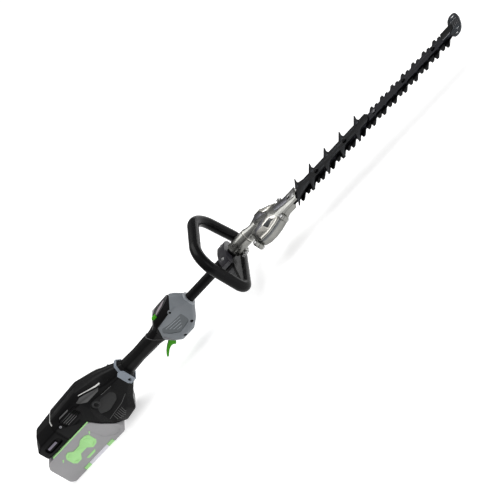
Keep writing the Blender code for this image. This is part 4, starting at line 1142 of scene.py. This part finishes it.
dress(nose_rib, NOSE_ALU, edge=0.5)

lower = solid("gear_pan", mirrored_form((level(shrunk(LOW_PLAN, 0.88, 0.86), -36, -29.5),
    level(shrunk(LOW_PLAN, 0.95, 0.94), -33, -28.5), level(LOW_PLAN, -24.5, -24.5),
    level(LOW_PLAN, SPLIT_Z - 0.15, SPLIT_Z - 0.15))))
for x, y, _ in EARS:
    fuse(lower, disc("z", (x, y, 0), EAR_R, -27, SPLIT_Z - 0.4, 28))
carve(lower, disc("x", (0, 0, 0), NECK_R + 0.3, -160, -119.5, 32))
carve(lower, prism(chamber, -31, -10, "z"))
carve(lower, block(-70, 20, -16, 16, -25.6, -10))
carve(lower, block(-17, 22, -42, 42, -25.6, -10))
drill(lower, CRANK_X, 0, 5.3, -34, -20, 28)
for x, y, _ in EARS:
    drill(lower, x, y, EAR_HOLE_R, -60, 30, 20)
dress(lower, ALU, ["gear_case_lower"], edge=0.8, segments=3)

flange_half = [(x, y + 1) for x, y in PAN_PLAN if -135 < x < -41]
for label, side in SIDES:
    inner = [(x, y - 3) for x, y in flange_half]
    ring = flip(flange_half + inner[::-1], side)
    piece("case_rim_" + label, prism(ring, SPLIT_Z - 2.6, SPLIT_Z + 2.2, "z"), ALU_DARK, edge=0.7)

neck_profile = [(TUBE_FIT, -199), (NECK_R - 1, -199), (NECK_R, -198), (NECK_R, -152.8),
    (NECK_R - 1.4, -152), (NECK_R - 1.4, -150.3), (TUBE_FIT, -150.3)]
neck = solid("neck_sleeve", turned_form("x", (0, 0, 0), neck_profile, 48))
fuse(neck, block(-194.5, -176.5, -9, 9, -25, -13))
carve(neck, block(-210, -165, -1.2, 1.2, -30, -5))
carve(neck, tube_hole(-210, -140, 48))
for x in (-190, -181):
    carve(neck, disc("y", (x, 0, -20.5), 2.6, -20, 20, 20))
dress(neck, ALU, ["neck_clamp"], edge=0.7, segments=3)
# a thin near-white ring at the neck joint: a painted highlight
lip_profile = [(NECK_R - 1.6, -150.2), (NECK_R - 0.2, -150.2), (NECK_R + 0.2, -149.6),
    (NECK_R + 0.2, -148.4), (NECK_R - 1.6, -148.4)]
piece("neck_lip", turned_form("x", (0, 0, 0), lip_profile, 48), ALU_HIGHLIGHT)

# --- blades, comb and tip guard ---
BOLT_HOLE_R = 3.4
COMB_SPIKES = 5
COMB_PITCH = 49.5
COMB_TIP_Y = 53.8
COMB_END = 226
COMB_FAR_Y = 21.5
COMB_NEAR_Y = 15
COMB_Z = (-16.1, -13.4)
ON_COMB = (COMB_Z[1] - 0.3, -13)
SPIKE_RIB = ((-2.4, 12), (-0.9, 44), (0.9, 44), (6, 22), (8, 12))
GUARD_PAD = ((464.5, -13.5), (464.5, 13.5), (491, 13.5), (499, 8), (499, -8), (491, -13.5))
GUARD_OUTER = ((488.5, 14.6), (491, 32.5), (497, 42), (506, 44), (513, 39.5), (517.6, 29.5),
    (520.5, 13.5), (520.5, -13.5), (517.6, -29.5), (513, -39.5), (506, -44), (497, -42), (491, -32.5),
    (488.5, -14.6), (464.5, -14.6), (464.5, 14.6))
GUARD_EYE = ((495, 17), (496.5, 31), (501, 37), (506, 38.5), (511, 33), (514.5, 17))


def comb_outline():
    """Straight rear edge, then a spine, wider on its far side, with a pair of spikes per step."""
    edges = []
    for spine_y, tip in ((COMB_FAR_Y, 1.4), (COMB_NEAR_Y, 2.8)):
        half = [(-1.3, COMB_TIP_Y), (1.2, COMB_TIP_Y - 1), (4.4, 36), (9, 28), (24, max(spine_y, 20.8)),
            (40, spine_y)]
        for k in range(1, COMB_SPIKES):
            x = COMB_PITCH * k
            half += [(x - 7, spine_y), (x - tip, COMB_TIP_Y - 0.5), (x + tip - 0.6, COMB_TIP_Y - 1),
                (x + 4.4, 32), (x + 10, spine_y)]
        edges.append(half + [(COMB_END, spine_y), (COMB_END + 5.8, 10)])
    far, near = edges
    return far + [(x, -y) for x, y in reversed(near)]


# the two blades stay CAD nodes, with rounded edges over their own mesh
for name in ("blade_upper", "blade_lower"):
    soften_edges(frame["nodes"][name], 0.00001, 0.7, 2, 35)

bolt_xs = []
for number in range(1, 6):
    low, high = design_box(f"blade_bolt_{number}")
    bolt_xs.append((low.x + high.x) / 2)
bar_low, bar_high = design_box("guide_bar")
bar_line = ((bar_low.x, -14.4), (bar_high.x - 6, -14.4), (bar_high.x, -8), (bar_high.x, 8),
    (bar_high.x - 6, 14.4), (bar_low.x, 14.4))
spine_bar = solid("spine_bar", prism(bar_line, bar_low.z, bar_high.z, "z"))
comb = solid("hedge_comb", prism(comb_outline(), *COMB_Z, "z"))
for x in bolt_xs:
    for form in (spine_bar, comb):
        drill(form, x, 0, BOLT_HOLE_R, -40, 0)
dress(spine_bar, SPINE, ["guide_bar"], edge=0.9, segments=3)
dress(comb, BLADE, ["comb_guard"], edge=0.9)
for label, side in SIDES:
    for k in range(COMB_SPIKES):
        x = COMB_PITCH * k
        rib = flip([(x + dx, y) for dx, y in SPIKE_RIB], side)
        piece(f"spike_rib_{label}_{k}", prism(rib, *ON_COMB, "z"), SPIKE_STEEL, edge=0.3)
    # pale lines along the spine between the spikes: painted highlights of its bevelled edge
    for k in range(COMB_SPIKES - 1):
        x = COMB_PITCH * k
        line = ribbon(((x + 13, side * 9), (x + COMB_PITCH - 8, side * 9)), (0.8, 0.8))
        piece(f"comb_highlight_line_{label}_{k}", prism(line, *ON_COMB, "z"), BOW_DARK,
            slot="blade_steel", edge=0.3)

guard = solid("tip_bow", prism(rounded(GUARD_OUTER, 3), -16.1, -13.2, "z"))
for _, side in SIDES:
    carve(guard, prism(flip(GUARD_EYE, side), -30, 0, "z"))
for _, side in SIDES:
    for y in (23, 29.5):
        fuse(guard, block(494, 516, *span(side, y, y + 1.6), -16, -13.6))
dress(guard, BOW_DARK, ["tip_guard"], edge=0.9, segments=3)
piece("tip_pad", prism(rounded(GUARD_PAD, 2), -13.6, -11.9, "z"), BODY, edge=0.6)
# a pale steel line along the pad's near edge only: a painted highlight
pad_highlight = ribbon(((466, -14), (490, -14)), (0.45, 0.45))
piece("tip_pad_highlight", prism(pad_highlight, -13.6, -12.4, "z"), PALE_STEEL, edge=0.2)
for k in range(4):
    x = 503 + 4.2 * k
    rib = prism(slot_outline(x - 0.9, x + 0.9, -11, 11, 0.8), -13.6, -12.2, "z")
    piece(f"bow_rib_{k}", rib, DARK_STEEL, edge=0.3)

# bolt heads over the stack, sleeves and nuts below
for number, x in enumerate(bolt_xs, 1):
    low, high = design_box(f"blade_bolt_{number}")
    top = high.z
    profile = [(0, low.z), (6.3, low.z), (6.3, low.z + 3.9), (2.9, low.z + 3.9), (2.9, top - 3),
        (5.1, top - 3), (5.1, top - 1.2), (3.9, top), (0, top)]
    bolt = solid(f"comb_bolt_{number}", turned_form("z", (x, 0, 0), profile, 28))
    drill(bolt, x, 0, 2, top - 1.6, top + 2, 6)
    # the bolt just past the comb's end is pale steel, a painted highlight; the others stay dark
    mat = PALE_STEEL if COMB_END < x < COMB_END + 40 else BOLT_BLACK
    dress(bolt, mat, [f"blade_bolt_{number}"], edge=0.3)

# --- camera, light and floor ---
CAMERA_AT = Vector((1493.2, -3611.5, 1701.6))
CAMERA_RIGHT = Vector((0.6331, -0.0762, -0.7703))
CAMERA_UP = Vector((0.6716, 0.5488, 0.4977))
CAMERA_LENS = 142.48
FLOOR_GLOW = 0.55
SKY_LOW = 0.1
SKY_HIGH = 0.62


def add_camera():
    data = bpy.data.cameras.new("camera")
    data.lens = CAMERA_LENS
    data.sensor_width = 36
    data.clip_end = 50
    camera = placed("camera", data)
    right = CAMERA_RIGHT.normalized()
    back = right.cross(CAMERA_UP).normalized()
    up = back.cross(right)
    turn = Matrix((right, up, back)).transposed().to_4x4()
    camera.matrix_world = Matrix.Translation(CAMERA_AT * MM + ZERO) @ turn
    bpy.context.scene.camera = camera


def add_area(name, at, target, size, power):
    data = bpy.data.lights.new(name, "AREA")
    data.size = size
    data.energy = power
    light = placed(name, data)
    light.location = at
    light.rotation_euler = (Vector(target) - Vector(at)).to_track_quat("-Z", "Y").to_euler()


def add_floor():
    bm = bmesh.new()
    bmesh.ops.create_grid(bm, x_segments=1, y_segments=1, size=30)
    floor = placed("floor", mesh_of("floor", bm))
    floor.location.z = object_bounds()[0][2] - 0.0005
    p = Paint("floor_paint", (0.86, 0.86, 0.86), 0.7)
    p.tint((0.9, 0.9, 0.9), 0.1, (3, 3), 0.3, 0.7)
    p.shader.inputs["Emission Color"].default_value = (1, 1, 1, 1)
    p.shader.inputs["Emission Strength"].default_value = FLOOR_GLOW
    floor.data.materials.append(p.done())


def add_world():
    world = bpy.data.worlds.new("studio")
    bpy.context.scene.world = world
    world.use_nodes = True
    tree = world.node_tree
    background = tree.nodes["Background"]
    background.inputs["Color"].default_value = (1, 1, 1, 1)
    coords = tree.nodes.new("ShaderNodeTexCoord")
    split = tree.nodes.new("ShaderNodeSeparateXYZ")
    shade = tree.nodes.new("ShaderNodeMapRange")
    ends = (("From Min", 0.1), ("From Max", 0.9), ("To Min", SKY_LOW), ("To Max", SKY_HIGH))
    for name, number in ends:
        shade.inputs[name].default_value = number
    tree.links.new(coords.outputs["Generated"], split.inputs[0])
    tree.links.new(split.outputs["Z"], shade.inputs["Value"])
    tree.links.new(shade.outputs[0], background.inputs["Strength"])


add_camera()
add_world()
add_area("key", (0.2, 0.9, 2.6), (0, 0, 0.05), 2.4, 50)
add_area("front", (2.4, -1.6, 1.2), (0, 0, 0.05), 1.6, 20)
add_floor()
bpy.context.scene.view_settings.view_transform = "Standard"
